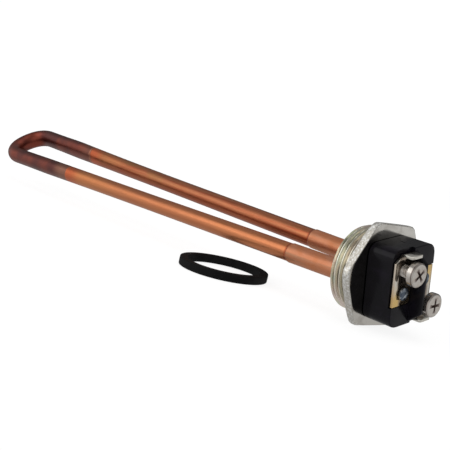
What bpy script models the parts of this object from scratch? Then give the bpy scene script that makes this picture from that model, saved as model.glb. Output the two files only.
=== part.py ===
"""Screw plug immersion heater: a U-bent copper element in a threaded hex plug, with its terminal block.

Metres, +Z up. The plug's thread lies on the X axis. The origin is the middle of the seat where the
gasket presses on the hexagon. The terminals face +X and the bend of the element points to -X. The
heater lies on one flat of its hexagon, and the gasket lies beside it on the same surface.
"""

import math

import bmesh
import bpy
from mathutils import Matrix, Vector

MM = 0.001

# Gap between pieces that touch on the real heater
SEAT_GAP = 0.3 * MM

# How far a cutter runs past what it cuts, and how near two points are one
OVERSHOOT = 1.0 * MM
MERGE = 0.001 * MM
SMOOTH_ANGLE = math.radians(35)

# Facets round the turned shapes
HEX_STEPS = 72
PLUG_STEPS = 64
GASKET_STEPS = 56
SCREW_STEPS = 32
SMALL_STEPS = 24

# Hexagon of the plug. Its seat is the flat ring from the thread to the flats
SEAT_WIDTH = 2.55 * MM
HEX_THICK = 3.4 * MM
HEX_CORNER_REACH = 2.45 * MM
HEX_CORNER_CHAMFER = 0.8 * MM
HEX_EDGE_CHAMFER = 0.3 * MM
SEAT_RELIEF_MARGIN = 0.3 * MM
SEAT_RELIEF_DEPTH = 0.1 * MM

# Straight pipe thread, 11.5 turns to the inch
THREAD_RADIUS = 16.5 * MM
THREAD_DEPTH = 1.35 * MM
THREAD_PITCH = 2.209 * MM
THREAD_LENGTH = 9.5 * MM
THREAD_RELIEF = 1.3 * MM
THREAD_CHAMFER = 0.9 * MM
THREAD_CREST = 0.28 * MM
THREAD_ROOT = 0.94 * THREAD_PITCH
THREAD_RUN_OUT = 0.8 * MM
THREAD_BITE = 0.4 * MM
THREAD_SPARE = 0.2 * MM
THREAD_END_STEP = 0.05 * MM
THREAD_STEPS = 32
BOSS_CHAMFER = 0.3 * MM

# Copper sheath of the element, bent to a U
INSERTION = 260.0 * MM
SHEATH_RADIUS = 3.7 * MM
SHEATH_WALL = 0.6 * MM
LEG_SPACING = 11.8 * MM
BEND_RADIUS = 11.15 * MM
LEG_PLANE_ANGLE = math.radians(29.9)
PARALLEL_RUN = 3.0 * MM
SHEATH_STAND_OUT = 1.6 * MM
FULL_END_GROWTH = 0.27 * MM
FULL_END_LENGTH = 28.5 * MM
FULL_END_TAPER = 0.8 * MM
BEND_STEPS = 18
SHEATH_RESOLUTION = 6

# Inside the sheath
COIL_RADIUS = 1.35 * MM
COIL_WIRE_RADIUS = 0.3 * MM
COIL_PITCH = 9.0 * MM
COIL_POINTS_PER_TURN = 7
PIN_RADIUS = 1.5 * MM
PIN_COLD_LENGTH = 45.0 * MM
PIN_HEAD_RADIUS = 2.45 * MM
PIN_HEAD_HEIGHT = 1.2 * MM
PIN_HEAD_EDGE = 0.45 * MM
SEAL_LENGTH = 5.0 * MM
BUSH_THICK = 2.2 * MM
BUSH_EDGE = 0.3 * MM

# Braze fillet where each leg leaves the plug
BRAZE_HEIGHT = 1.2 * MM
BRAZE_WIDTH = 1.0 * MM
BRAZE_HOLLOW = 0.38

# Moulded terminal block
BLOCK_TURN = math.radians(13.0)
BLOCK_WIDTH = 22.6 * MM
BLOCK_HEIGHT = 29.0 * MM
BLOCK_DEPTH = 12.4 * MM
BLOCK_CORNER = 4.8 * MM
BLOCK_CORNER_STEPS = 6
BLOCK_EDGE = 0.4 * MM
BARRIER_THICK = 1.6 * MM
BARRIER_LENGTH = 18.8 * MM
BARRIER_FOOT_INSET = 0.8 * MM
BARRIER_RISE = 5.3 * MM
BARRIER_BITE = 2.0 * MM
BARRIER_SLANT_BITE = 0.2 * MM
BARRIER_EDGE = 0.4 * MM
BARRIER_EDGE_STEPS = 3
SCREW_WELL_CLEARANCE = 0.6 * MM
SCREW_WELL_FLOOR = 2.2 * MM

# Terminal plate, a strip folded up at its end
PLATE_THICK = 1.0 * MM
PLATE_TAIL = 6.2 * MM
PLATE_SIDE_INSET = 0.6 * MM
PLATE_LIP_HEIGHT = 4.2 * MM
PLATE_LIP_DROP = 1.4 * MM
PLATE_LIP_CORNER = 1.1 * MM
PLATE_FOLD_RADIUS = 0.1 * MM
PLATE_CORNER_WIDTH = 2.0 * MM
PLATE_CORNER_HEIGHT = 1.6 * MM
PLATE_SHOULDER_WIDTH = 1.4 * MM
PLATE_SHOULDER_HEIGHT = 0.4 * MM
PLATE_TAIL_CORNER = 1.0 * MM
PLATE_ARC_STEPS = 4

# Terminal screw, backed off as for wiring
SCREW_ROW = 6.8 * MM
SCREW_SHANK_RADIUS = 2.4 * MM
SCREW_SHANK_LENGTH = 9.5 * MM
SCREW_HEAD_RADIUS = 4.5 * MM
SCREW_HEAD_HEIGHT = 2.8 * MM
SCREW_HEAD_ROUND = 0.5 * MM
SCREW_OPEN_GAP = 3.8 * MM
SCREW_TIP_CHAMFER = 0.6 * MM
CROSS_LENGTH = 3.9 * MM
CROSS_WIDTH = 0.95 * MM
CROSS_DEPTH = 1.5 * MM

# Gasket, lying apart from the plug
GASKET_WIDTH = 3.5 * MM
GASKET_GRIP = 0.15 * MM
GASKET_THICK = 3.3 * MM
GASKET_EDGE = 0.4 * MM
GASKET_X = -64.0 * MM
GASKET_Y = -15.1 * MM

# Places worked out from the sizes above
HEX_ACROSS_FLATS = 2 * (THREAD_RADIUS + SEAT_WIDTH)
HEX_CORNER_RADIUS = HEX_ACROSS_FLATS / 2 + HEX_CORNER_REACH
REST_LEVEL = -HEX_ACROSS_FLATS / 2
SEAT_RELIEF_RADIUS = THREAD_RADIUS + SEAT_RELIEF_MARGIN
THREAD_ROOT_RADIUS = THREAD_RADIUS - THREAD_DEPTH
THREAD_CORE_RADIUS = THREAD_ROOT_RADIUS - THREAD_BITE
GASKET_INNER_RADIUS = THREAD_ROOT_RADIUS - GASKET_GRIP
GASKET_OUTER_RADIUS = GASKET_INNER_RADIUS + GASKET_WIDTH
FULL_END_RADIUS = SHEATH_RADIUS + FULL_END_GROWTH
SHEATH_BORE = SHEATH_RADIUS - SHEATH_WALL
FULL_END_BORE = FULL_END_RADIUS - SHEATH_WALL
LEG_HOLE_RADIUS = FULL_END_RADIUS + SEAT_GAP
SHEATH_END_X = HEX_THICK + SHEATH_STAND_OUT
BLOCK_BACK_X = HEX_THICK + SEAT_GAP
BLOCK_FACE_X = HEX_THICK + BLOCK_DEPTH
POCKET_DEPTH = SHEATH_STAND_OUT + BUSH_THICK + SEAT_GAP
PLATE_BACK_X = BLOCK_FACE_X - PLATE_THICK
RECESS_FLOOR_X = PLATE_BACK_X - SEAT_GAP
PIN_ROW = LEG_SPACING / 2 * math.sin(LEG_PLANE_ANGLE - BLOCK_TURN)
TERMINAL_LINE = LEG_SPACING / 2 * math.cos(LEG_PLANE_ANGLE - BLOCK_TURN)
PLATE_INNER_EDGE = BARRIER_THICK / 2 + SEAT_GAP
SCREW_HEAD_X = BLOCK_FACE_X + SCREW_OPEN_GAP
WELL_RADIUS = SCREW_SHANK_RADIUS + SCREW_WELL_CLEARANCE
BEND_CENTRE_X = -(INSERTION - BEND_RADIUS - SHEATH_RADIUS)
KINK_X = -(THREAD_LENGTH + PARALLEL_RUN)
KINK_TO_CENTRE = KINK_X - BEND_CENTRE_X
SPLAY = math.asin(BEND_RADIUS / math.hypot(KINK_TO_CENTRE, LEG_SPACING / 2)) - math.atan2(
    LEG_SPACING / 2, KINK_TO_CENTRE
)

# Side on which each leg and terminal lies, seen facing the terminals: right is +Y
SIDES = {"right": 1, "left": -1}

# Angle of each screw's cross recess from the horizontal
CROSS_TURNS = {"right": math.radians(10), "left": math.radians(45)}


def clear_scene():
    """Removes every object that the scene starts with."""
    for obj in list(bpy.data.objects):
        bpy.data.objects.remove(obj, do_unlink=True)


def collection_named(name):
    """Makes a collection and links it to the scene."""
    made = bpy.data.collections.new(name)
    bpy.context.scene.collection.children.link(made)
    return made


def material(name, colour, roughness, metallic):
    """Makes a plain Principled material."""
    made = bpy.data.materials.new(name)
    made.use_nodes = True
    shader = made.node_tree.nodes["Principled BSDF"]
    shader.inputs["Base Color"].default_value = (*colour, 1.0)
    shader.inputs["Roughness"].default_value = roughness
    shader.inputs["Metallic"].default_value = metallic
    return made


def add_object(name, data, home, finish=None):
    """Puts a mesh or a curve into a collection as a named object."""
    obj = bpy.data.objects.new(name, data)
    home.objects.link(obj)
    if finish:
        obj.data.materials.append(finish)
    return obj


def hide_cutter(obj):
    """Keeps a cutter out of the render and draws it as a wire."""
    obj.hide_render = True
    obj.display_type = "WIRE"
    return obj


def shade(obj):
    """Shades round faces smooth and keeps the sharp edges."""
    obj.data.shade_smooth()
    obj.data.set_sharp_from_angle(angle=SMOOTH_ANGLE)


def combine(obj, other, operation):
    """Adds an exact Boolean to obj and keeps the other object as its hidden tool."""
    step = obj.modifiers.new(f"{operation.lower()} {other.name}", "BOOLEAN")
    step.operation = operation
    step.object = other
    step.solver = "EXACT"


def baked(obj):
    """Replaces an object by the mesh that its modifiers or its curve make."""
    bpy.context.view_layer.update()
    graph = bpy.context.evaluated_depsgraph_get()
    mesh = bpy.data.meshes.new_from_object(obj.evaluated_get(graph))
    shape = bmesh.new()
    shape.from_mesh(mesh)
    bmesh.ops.remove_doubles(shape, verts=shape.verts, dist=MERGE)
    shape.to_mesh(mesh)
    shape.free()
    name = obj.name
    matrix = obj.matrix_world.copy()
    home = obj.users_collection[0]
    hidden = obj.hide_render
    finish = obj.data.materials[0] if obj.data.materials else None
    bpy.data.objects.remove(obj, do_unlink=True)
    made = bpy.data.objects.new(name, mesh)
    mesh.materials.clear()
    if finish:
        mesh.materials.append(finish)
    home.objects.link(made)
    made.matrix_world = matrix
    if hidden:
        hide_cutter(made)
    return made


def turned(name, profile, home, steps, finish=None):
    """Turns a profile of (radius, height) points about an axis, and lays that axis along +X.

    The points run from the top of the outer side down, so that the faces point out.
    """
    shape = bmesh.new()
    points = [shape.verts.new((radius, 0.0, height)) for radius, height in profile]
    for first, second in zip(points, points[1:]):
        shape.edges.new((first, second))
    mesh = bpy.data.meshes.new(name)
    shape.to_mesh(mesh)
    shape.free()
    obj = add_object(name, mesh, home, finish)
    spin = obj.modifiers.new("turn", "SCREW")
    spin.steps = steps
    spin.render_steps = steps
    spin.use_merge_vertices = True
    spin.merge_threshold = MERGE
    obj.rotation_euler = (0.0, math.radians(90), 0.0)
    return obj


def ring_profile(inner, outer, bottom, top, edge=0.0):
    """The closed profile of a ring, with its outer corners cut back by edge."""
    corners = [(outer, top), (outer, bottom)]
    if edge:
        corners = [(outer - edge, top), (outer, top - edge), (outer, bottom + edge), (outer - edge, bottom)]
    return [(inner, top)] + corners + [(inner, bottom), (inner, top)]


def rod(name, radius, start, end, home):
    """A cylinder along +X from start to end, about the object's own axis."""
    shape = bmesh.new()
    lay = Matrix.Translation(((start + end) / 2, 0, 0)) @ Matrix.Rotation(math.radians(90), 4, "Y")
    ends = {"cap_ends": True, "radius1": radius, "radius2": radius, "depth": end - start}
    bmesh.ops.create_cone(shape, segments=SMALL_STEPS, matrix=lay, **ends)
    mesh = bpy.data.meshes.new(name)
    shape.to_mesh(mesh)
    shape.free()
    return add_object(name, mesh, home)


def box(name, low, high, home):
    """A box between two corners."""
    shape = bmesh.new()
    bmesh.ops.create_cube(shape, size=1.0)
    size = Vector(high) - Vector(low)
    middle = (Vector(high) + Vector(low)) / 2
    bmesh.ops.scale(shape, vec=size, verts=shape.verts)
    bmesh.ops.translate(shape, vec=middle, verts=shape.verts)
    mesh = bpy.data.meshes.new(name)
    shape.to_mesh(mesh)
    shape.free()
    return add_object(name, mesh, home)


def bevelled_along_x(obj, radius, segments):
    """Rounds the edges of a box that run along X."""
    shape = bmesh.new()
    shape.from_mesh(obj.data)
    along = [e for e in shape.edges if abs((e.verts[0].co - e.verts[1].co).normalized().x) > 0.99]
    bmesh.ops.bevel(shape, geom=along, offset=radius, segments=segments, affect="EDGES", profile=0.5)
    shape.to_mesh(obj.data)
    shape.free()


def bevelled_face_edges(obj, level_x, width, segments):
    """Rounds the rim of the face that lies at level_x."""
    shape = bmesh.new()
    shape.from_mesh(obj.data)
    rim = [e for e in shape.edges if all(abs(v.co.x - level_x) < MERGE for v in e.verts)]
    bmesh.ops.bevel(shape, geom=rim, offset=width, segments=segments, affect="EDGES", profile=0.5)
    shape.to_mesh(obj.data)
    shape.free()


def leg_point(x, offset):
    """The point at x whose distance from the axis, in the plane of the two legs, is offset."""
    return Vector((x, offset * math.cos(LEG_PLANE_ANGLE), offset * math.sin(LEG_PLANE_ANGLE)))


def terminal_turn(sign):
    """Turn about the axis of one terminal: the right one is the left one turned half round."""
    return BLOCK_TURN + (math.pi if sign > 0 else 0.0)


def leg_corners():
    """(x, offset, radius factor) along one leg, from its open end to where the bend starts."""
    growth = FULL_END_RADIUS / SHEATH_RADIUS
    start = LEG_SPACING / 2
    step_x = -(THREAD_LENGTH + FULL_END_LENGTH)
    bend_x = BEND_CENTRE_X + BEND_RADIUS * math.sin(SPLAY)
    bend_offset = BEND_RADIUS * math.cos(SPLAY)
    corners = []
    for x in sorted((SHEATH_END_X, KINK_X, step_x, step_x - FULL_END_TAPER, bend_x), reverse=True):
        splayed = max(0.0, (KINK_X - x) / (KINK_X - bend_x))
        factor = growth if x >= step_x else 1.0
        corners.append((x, start + (bend_offset - start) * splayed, factor))
    return corners


def bend_corners():
    """(x, offset, radius factor) round the bend, between the ends of the two legs."""
    sweep = math.pi + 2 * SPLAY
    angles = [math.pi / 2 - SPLAY + sweep * i / BEND_STEPS for i in range(1, BEND_STEPS)]
    return [
        (BEND_CENTRE_X + BEND_RADIUS * math.cos(a), BEND_RADIUS * math.sin(a), 1.0) for a in angles
    ]


def element_route():
    """Points and radius factors of the whole element, from the right leg's end to the left one's."""
    right = leg_corners()
    left = [(x, -offset, factor) for x, offset, factor in reversed(right)]
    corners = right + bend_corners() + left
    return [(leg_point(x, offset), factor) for x, offset, factor in corners]


def trimmed(route, length):
    """The route with this length taken off each end."""

    def cut(points):
        left = length
        for i in range(1, len(points)):
            span = (points[i][0] - points[i - 1][0]).length
            if span > left:
                share = left / span
                place = points[i - 1][0].lerp(points[i][0], share)
                factor = points[i - 1][1] + (points[i][1] - points[i - 1][1]) * share
                return [(place, factor)] + points[i:]
            left -= span
        return points[-1:]

    return list(reversed(cut(list(reversed(cut(route))))))


def wire(name, route, radius, home, finish, resolution, caps):
    """A curve object along a route of points and radius factors."""
    data = bpy.data.curves.new(name, "CURVE")
    data.dimensions = "3D"
    data.bevel_depth = radius
    data.bevel_resolution = resolution
    data.use_fill_caps = caps
    spline = data.splines.new("POLY")
    spline.points.add(len(route) - 1)
    for point, (place, factor) in zip(spline.points, route):
        point.co = (*place, 1.0)
        point.radius = factor
    return add_object(name, data, home, finish)


def tube(name, route, radius, wall, home, finish):
    """A hollow tube along a route, open at both ends."""
    obj = baked(wire(name, route, radius, home, finish, SHEATH_RESOLUTION, caps=False))
    shell = obj.modifiers.new("wall", "SOLIDIFY")
    shell.thickness = wall
    shell.offset = -1.0
    return obj


def coil_route(route, radius, pitch):
    """A helix of this radius and pitch wound round a route."""
    places = [place for place, _ in route]
    across = Vector((0.0, -math.sin(LEG_PLANE_ANGLE), math.cos(LEG_PLANE_ANGLE)))
    step = pitch / COIL_POINTS_PER_TURN
    helix = []
    turn = 0
    carried = 0.0
    for first, second in zip(places, places[1:]):
        run = second - first
        forward = run.normalized()
        inward = across.cross(forward)
        while carried < run.length:
            angle = 2 * math.pi * turn / COIL_POINTS_PER_TURN
            ring = inward * math.cos(angle) + across * math.sin(angle)
            helix.append((first + forward * carried + ring * radius, 1.0))
            carried += step
            turn += 1
        carried -= run.length
    return helix


def plug_blank(cutters):
    """The hexagon of the plug, with the turned limit of its corners."""
    half = HEX_ACROSS_FLATS / 2
    shape = bmesh.new()
    lay = Matrix.Translation((HEX_THICK / 2, 0, 0)) @ Matrix.Rotation(math.radians(90), 4, "Y")
    corner = half / math.cos(math.radians(30))
    bmesh.ops.create_cone(
        shape, cap_ends=True, segments=6, radius1=corner, radius2=corner, depth=HEX_THICK, matrix=lay
    )
    mesh = bpy.data.meshes.new("hexagon")
    shape.to_mesh(mesh)
    shape.free()
    hexagon = add_object("hexagon", mesh, cutters)
    radius = HEX_CORNER_RADIUS
    profile = [
        (0.0, HEX_THICK + HEX_EDGE_CHAMFER),
        (half, HEX_THICK + HEX_EDGE_CHAMFER),
        (radius, HEX_THICK - HEX_EDGE_CHAMFER),
        (radius, HEX_CORNER_CHAMFER),
        (half, -HEX_EDGE_CHAMFER),
        (0.0, -HEX_EDGE_CHAMFER),
    ]
    limit = turned("hexagon_limit", profile, cutters, HEX_STEPS)
    combine(hexagon, limit, "INTERSECT")
    hide_cutter(limit)
    return baked(hexagon)


def thread_ridge(cutters):
    """The helical ridge of the thread, longer than the thread at both ends."""
    root = THREAD_CORE_RADIUS - THREAD_SPARE
    crest = THREAD_RADIUS + THREAD_SPARE
    half_root = THREAD_ROOT / 2
    half_crest = THREAD_CREST / 2
    profile = [(crest, half_crest), (crest, -half_crest), (root, -half_root), (root, half_root)]
    turns = math.ceil(THREAD_LENGTH / THREAD_PITCH) + 1
    shape = bmesh.new()
    corners = [shape.verts.new((radius, 0.0, height)) for radius, height in profile]
    for first, second in zip(corners, corners[1:] + corners[:1]):
        shape.edges.new((first, second))
    mesh = bpy.data.meshes.new("thread_ridge")
    shape.to_mesh(mesh)
    shape.free()
    ridge = add_object("thread_ridge", mesh, cutters)
    wind = ridge.modifiers.new("wind", "SCREW")
    wind.angle = 2 * math.pi
    wind.iterations = turns
    wind.screw_offset = THREAD_PITCH
    wind.steps = THREAD_STEPS
    wind.render_steps = THREAD_STEPS
    ridge.rotation_euler = (0.0, math.radians(90), 0.0)
    ridge.location.x = -(THREAD_LENGTH + THREAD_PITCH)
    ridge = baked(ridge)
    shape = bmesh.new()
    shape.from_mesh(ridge.data)
    rims = [edge for edge in shape.edges if edge.is_boundary]
    bmesh.ops.holes_fill(shape, edges=rims)
    bmesh.ops.recalc_face_normals(shape, faces=shape.faces)
    shape.to_mesh(ridge.data)
    shape.free()
    return ridge


def make_plug(home, cutters, finish):
    """The hexagon and the threaded boss in one piece, bored for the two legs."""
    ridge = thread_ridge(cutters)
    end = -THREAD_LENGTH
    last = end + THREAD_END_STEP
    limit_profile = [
        (THREAD_CORE_RADIUS, -THREAD_RELIEF),
        (THREAD_RADIUS, -THREAD_RELIEF - THREAD_RUN_OUT),
        (THREAD_RADIUS, last + THREAD_CHAMFER),
        (THREAD_RADIUS - THREAD_CHAMFER, last),
        (THREAD_CORE_RADIUS, last),
        (THREAD_CORE_RADIUS, -THREAD_RELIEF),
    ]
    limit = hide_cutter(turned("thread_limit", limit_profile, cutters, PLUG_STEPS))
    combine(ridge, limit, "INTERSECT")
    thread = hide_cutter(baked(ridge))
    boss_profile = [
        (0.0, HEX_THICK / 2),
        (THREAD_ROOT_RADIUS, HEX_THICK / 2),
        (THREAD_ROOT_RADIUS, end + BOSS_CHAMFER),
        (THREAD_ROOT_RADIUS - BOSS_CHAMFER, end),
        (0.0, end),
    ]
    boss = hide_cutter(turned("boss", boss_profile, cutters, PLUG_STEPS))
    relief_profile = [
        (0.0, SEAT_RELIEF_DEPTH),
        (SEAT_RELIEF_RADIUS, SEAT_RELIEF_DEPTH),
        (SEAT_RELIEF_RADIUS, -OVERSHOOT),
        (0.0, -OVERSHOOT),
    ]
    relief = hide_cutter(turned("seat_relief", relief_profile, cutters, PLUG_STEPS))
    plug = plug_blank(cutters)
    combine(plug, relief, "DIFFERENCE")
    combine(plug, boss, "UNION")
    combine(plug, thread, "UNION")
    for side, sign in SIDES.items():
        hole = rod(f"leg_hole_{side}", LEG_HOLE_RADIUS, end - OVERSHOOT, HEX_THICK + OVERSHOOT, cutters)
        hole.location = leg_point(0.0, sign * LEG_SPACING / 2)
        combine(plug, hide_cutter(hole), "DIFFERENCE")
    plug = baked(plug)
    plug.name = "plug_body"
    plug.data.materials.append(finish)
    cutters.objects.unlink(plug)
    home.objects.link(plug)
    shade(plug)
    return plug


def make_element(home, finishes):
    """The sheath, its powder fill, the coil, the cold pins, the seals and the bushes."""
    route = element_route()
    sheath = tube("heating_sheath", route, SHEATH_RADIUS, SHEATH_WALL, home, finishes["copper"])
    shade(sheath)

    fill_radius = SHEATH_BORE - SEAT_GAP
    fill_bore = COIL_RADIUS + COIL_WIRE_RADIUS + SEAT_GAP
    filled = trimmed(route, SEAL_LENGTH + SEAT_GAP)
    tube("magnesia_fill", filled, fill_radius, fill_radius - fill_bore, home, finishes["magnesia"])

    heated = trimmed(route, PIN_COLD_LENGTH + SEAT_GAP + COIL_WIRE_RADIUS)
    helix = coil_route(heated, COIL_RADIUS, COIL_PITCH)
    wire("heating_coil", helix, COIL_WIRE_RADIUS, home, finishes["nichrome"], 0, caps=True)


def cold_stretch(inner):
    """The first stretch of a route, as long as a cold pin reaches into the sheath."""
    left = PIN_COLD_LENGTH
    kept = [inner[0]]
    for first, second in zip(inner, inner[1:]):
        span = (second[0] - first[0]).length
        if span >= left:
            kept.append((first[0].lerp(second[0], left / span), 1.0))
            return kept
        kept.append(second)
        left -= span
    return kept


def make_leg_end(side, sign, home, cutters, finishes):
    """What closes the open end of one leg: cold pin, seal, bush and braze fillet."""
    axis = leg_point(0.0, sign * LEG_SPACING / 2)
    route = element_route() if sign > 0 else list(reversed(element_route()))
    inner = [(place, 1.0) for place, _ in route]
    cold = cold_stretch(inner)
    head_x = BLOCK_FACE_X + SEAT_GAP
    stem = [(Vector((head_x + PIN_HEAD_HEIGHT / 2, axis.y, axis.z)), 1.0)] + cold
    pin = baked(wire(f"cold_pin_{side}", stem, PIN_RADIUS, home, finishes["pin"], 4, caps=True))
    head_profile = [
        (0.0, PIN_HEAD_HEIGHT),
        (PIN_HEAD_RADIUS - PIN_HEAD_EDGE, PIN_HEAD_HEIGHT),
        (PIN_HEAD_RADIUS, PIN_HEAD_HEIGHT - PIN_HEAD_EDGE),
        (PIN_HEAD_RADIUS, 0.0),
        (0.0, 0.0),
    ]
    head = turned(f"pin_head_{side}", head_profile, cutters, SMALL_STEPS)
    head.location = (head_x, axis.y, axis.z)
    combine(pin, hide_cutter(head), "UNION")
    shade(pin)

    hole = PIN_RADIUS + SEAT_GAP
    seal_profile = ring_profile(hole, FULL_END_BORE - SEAT_GAP, -SEAL_LENGTH, 0.0)
    seal = turned(f"end_seal_{side}", seal_profile, home, SMALL_STEPS, finishes["seal"])
    seal.location = (SHEATH_END_X, axis.y, axis.z)
    bush_profile = ring_profile(hole, FULL_END_RADIUS, 0.0, BUSH_THICK - SEAT_GAP, BUSH_EDGE)
    bush = turned(f"insulating_bush_{side}", bush_profile, home, SMALL_STEPS, finishes["ceramic"])
    bush.location = (SHEATH_END_X + SEAT_GAP, axis.y, axis.z)

    inside = FULL_END_RADIUS + SEAT_GAP
    fillet = [
        (inside, -SEAT_GAP),
        (inside + BRAZE_WIDTH, -SEAT_GAP),
        (inside + BRAZE_WIDTH * BRAZE_HOLLOW, -SEAT_GAP - BRAZE_HEIGHT * BRAZE_HOLLOW),
        (inside, -SEAT_GAP - BRAZE_HEIGHT),
        (inside, -SEAT_GAP),
    ]
    braze = turned(f"braze_fillet_{side}", fillet, home, SMALL_STEPS, finishes["braze"])
    braze.location = (-THREAD_LENGTH, axis.y, axis.z)
    for obj in (seal, bush, braze):
        shade(obj)


def barrier_web(home):
    """The barrier between the terminals: a thin wall with slanted ends and rounded edges."""
    half = BARRIER_THICK / 2
    reach = BARRIER_LENGTH / 2
    foot = BLOCK_HEIGHT / 2 - BARRIER_FOOT_INSET
    root = BLOCK_FACE_X - BARRIER_BITE
    slant = BLOCK_FACE_X - BARRIER_SLANT_BITE
    top = BLOCK_FACE_X + BARRIER_RISE
    outline = [(root, -foot), (slant, -foot), (top, -reach), (top, reach), (slant, foot), (root, foot)]
    shape = bmesh.new()
    near = [shape.verts.new((x, -half, z)) for x, z in outline]
    far = [shape.verts.new((x, half, z)) for x, z in outline]
    shape.faces.new(near)
    shape.faces.new(far)
    for i in range(len(outline)):
        shape.faces.new((near[i - 1], near[i], far[i], far[i - 1]))
    bmesh.ops.recalc_face_normals(shape, faces=shape.faces)
    rim = []
    for edge in shape.edges:
        a, b = (vert.co for vert in edge.verts)
        if a.y * b.y > 0 and max(a.x, b.x) > slant + MERGE:
            rim.append(edge)
    bmesh.ops.bevel(
        shape, geom=rim, offset=BARRIER_EDGE, segments=BARRIER_EDGE_STEPS, affect="EDGES", profile=0.5
    )
    mesh = bpy.data.meshes.new("barrier")
    shape.to_mesh(mesh)
    shape.free()
    return add_object("barrier", mesh, home)


def make_block(home, cutters, finish):
    """The moulded block: recessed for both plates, with wells for the screws and a middle barrier."""
    wide = BLOCK_WIDTH / 2
    tall = BLOCK_HEIGHT / 2
    half = BARRIER_THICK / 2
    block = box("terminal_block", (BLOCK_BACK_X, -wide, -tall), (BLOCK_FACE_X, wide, tall), home)
    bevelled_along_x(block, BLOCK_CORNER, BLOCK_CORNER_STEPS)
    bevelled_face_edges(block, BLOCK_FACE_X, BLOCK_EDGE, 2)
    block.data.materials.append(finish)
    block.rotation_euler.x = BLOCK_TURN
    barrier = hide_cutter(barrier_web(cutters))
    barrier.rotation_euler.x = BLOCK_TURN

    for side, sign in SIDES.items():
        turn = terminal_turn(sign)
        low = (RECESS_FLOOR_X, -wide - OVERSHOOT, -PLATE_TAIL - SEAT_GAP)
        high = (BLOCK_FACE_X + OVERSHOOT, -half, tall + OVERSHOOT)
        recess = hide_cutter(box(f"plate_recess_{side}", low, high, cutters))
        recess.rotation_euler.x = turn
        combine(block, recess, "DIFFERENCE")
        well = rod(f"screw_well_{side}", WELL_RADIUS, HEX_THICK + SCREW_WELL_FLOOR, BLOCK_FACE_X, cutters)
        well.data.transform(Matrix.Translation((0.0, -TERMINAL_LINE, SCREW_ROW)))
        hide_cutter(well).rotation_euler.x = turn
        combine(block, well, "DIFFERENCE")
        leg = leg_point(0.0, sign * LEG_SPACING / 2)
        pocket = rod(f"leg_pocket_{side}", LEG_HOLE_RADIUS, 0.0, HEX_THICK + POCKET_DEPTH + SEAT_GAP, cutters)
        hide_cutter(pocket).location = leg
        combine(block, pocket, "DIFFERENCE")
        bore = rod(f"pin_bore_{side}", PIN_RADIUS + SEAT_GAP, 0.0, BLOCK_FACE_X, cutters)
        hide_cutter(bore).location = leg
        combine(block, bore, "DIFFERENCE")
    combine(block, barrier, "UNION")
    shade(block)
    return block


def plate_rows():
    """(x, z, outer edge, inner edge) along the back of the folded strip, from its tail to its lip's end."""
    outer = PLATE_SIDE_INSET - BLOCK_WIDTH / 2
    inner = -PLATE_INNER_EDGE
    shoulder = outer + PLATE_CORNER_WIDTH
    lip_outer = shoulder + PLATE_SHOULDER_WIDTH
    lip_end = BLOCK_FACE_X + PLATE_LIP_HEIGHT
    lip_z = BLOCK_HEIGHT / 2 - PLATE_LIP_DROP
    radius = PLATE_FOLD_RADIUS + PLATE_THICK
    fold_z = lip_z - radius
    rows = [
        (PLATE_BACK_X, -PLATE_TAIL, outer, inner - PLATE_TAIL_CORNER),
        (PLATE_BACK_X, -PLATE_TAIL + PLATE_TAIL_CORNER, outer, inner),
        (PLATE_BACK_X, fold_z - PLATE_SHOULDER_HEIGHT - PLATE_CORNER_HEIGHT, outer, inner),
        (PLATE_BACK_X, fold_z - PLATE_SHOULDER_HEIGHT, shoulder, inner),
    ]
    angles = [math.radians(90 * i / PLATE_ARC_STEPS) for i in range(PLATE_ARC_STEPS + 1)]
    for angle in angles:
        x = PLATE_BACK_X + radius * (1 - math.cos(angle))
        rows.append((x, fold_z + radius * math.sin(angle), lip_outer, inner))
    for angle in angles:
        x = lip_end - PLATE_LIP_CORNER * (1 - math.sin(angle))
        inset = PLATE_LIP_CORNER * (1 - math.cos(angle))
        rows.append((x, lip_z, lip_outer + inset, inner - inset))
    return rows


def make_plate(side, sign, home, cutters, finish):
    """One terminal plate: a strip folded up at its end, with a screw hole and the pin's hole."""
    name = f"terminal_plate_{side}"
    shape = bmesh.new()
    rows = []
    for x, z, outer, inner in plate_rows():
        rows.append((shape.verts.new((x, outer, z)), shape.verts.new((x, inner, z))))
    for (a, b), (c, d) in zip(rows, rows[1:]):
        shape.faces.new((a, b, d, c))
    mesh = bpy.data.meshes.new(name)
    shape.to_mesh(mesh)
    shape.free()
    plate = add_object(name, mesh, home, finish)
    sheet = plate.modifiers.new("sheet", "SOLIDIFY")
    sheet.thickness = PLATE_THICK
    sheet.offset = 1.0
    sheet.use_even_offset = True
    plate.rotation_euler.x = terminal_turn(sign)
    holes = (("screw_hole", SCREW_SHANK_RADIUS, SCREW_ROW), ("pin_hole", PIN_RADIUS, -PIN_ROW))
    for label, radius, row in holes:
        hole = rod(f"{label}_{side}", radius + SEAT_GAP, RECESS_FLOOR_X, BLOCK_FACE_X + OVERSHOOT, cutters)
        hole.data.transform(Matrix.Translation((0.0, -TERMINAL_LINE, row)))
        hide_cutter(hole).rotation_euler.x = terminal_turn(sign)
        combine(plate, hole, "DIFFERENCE")
    shade(plate)


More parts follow.
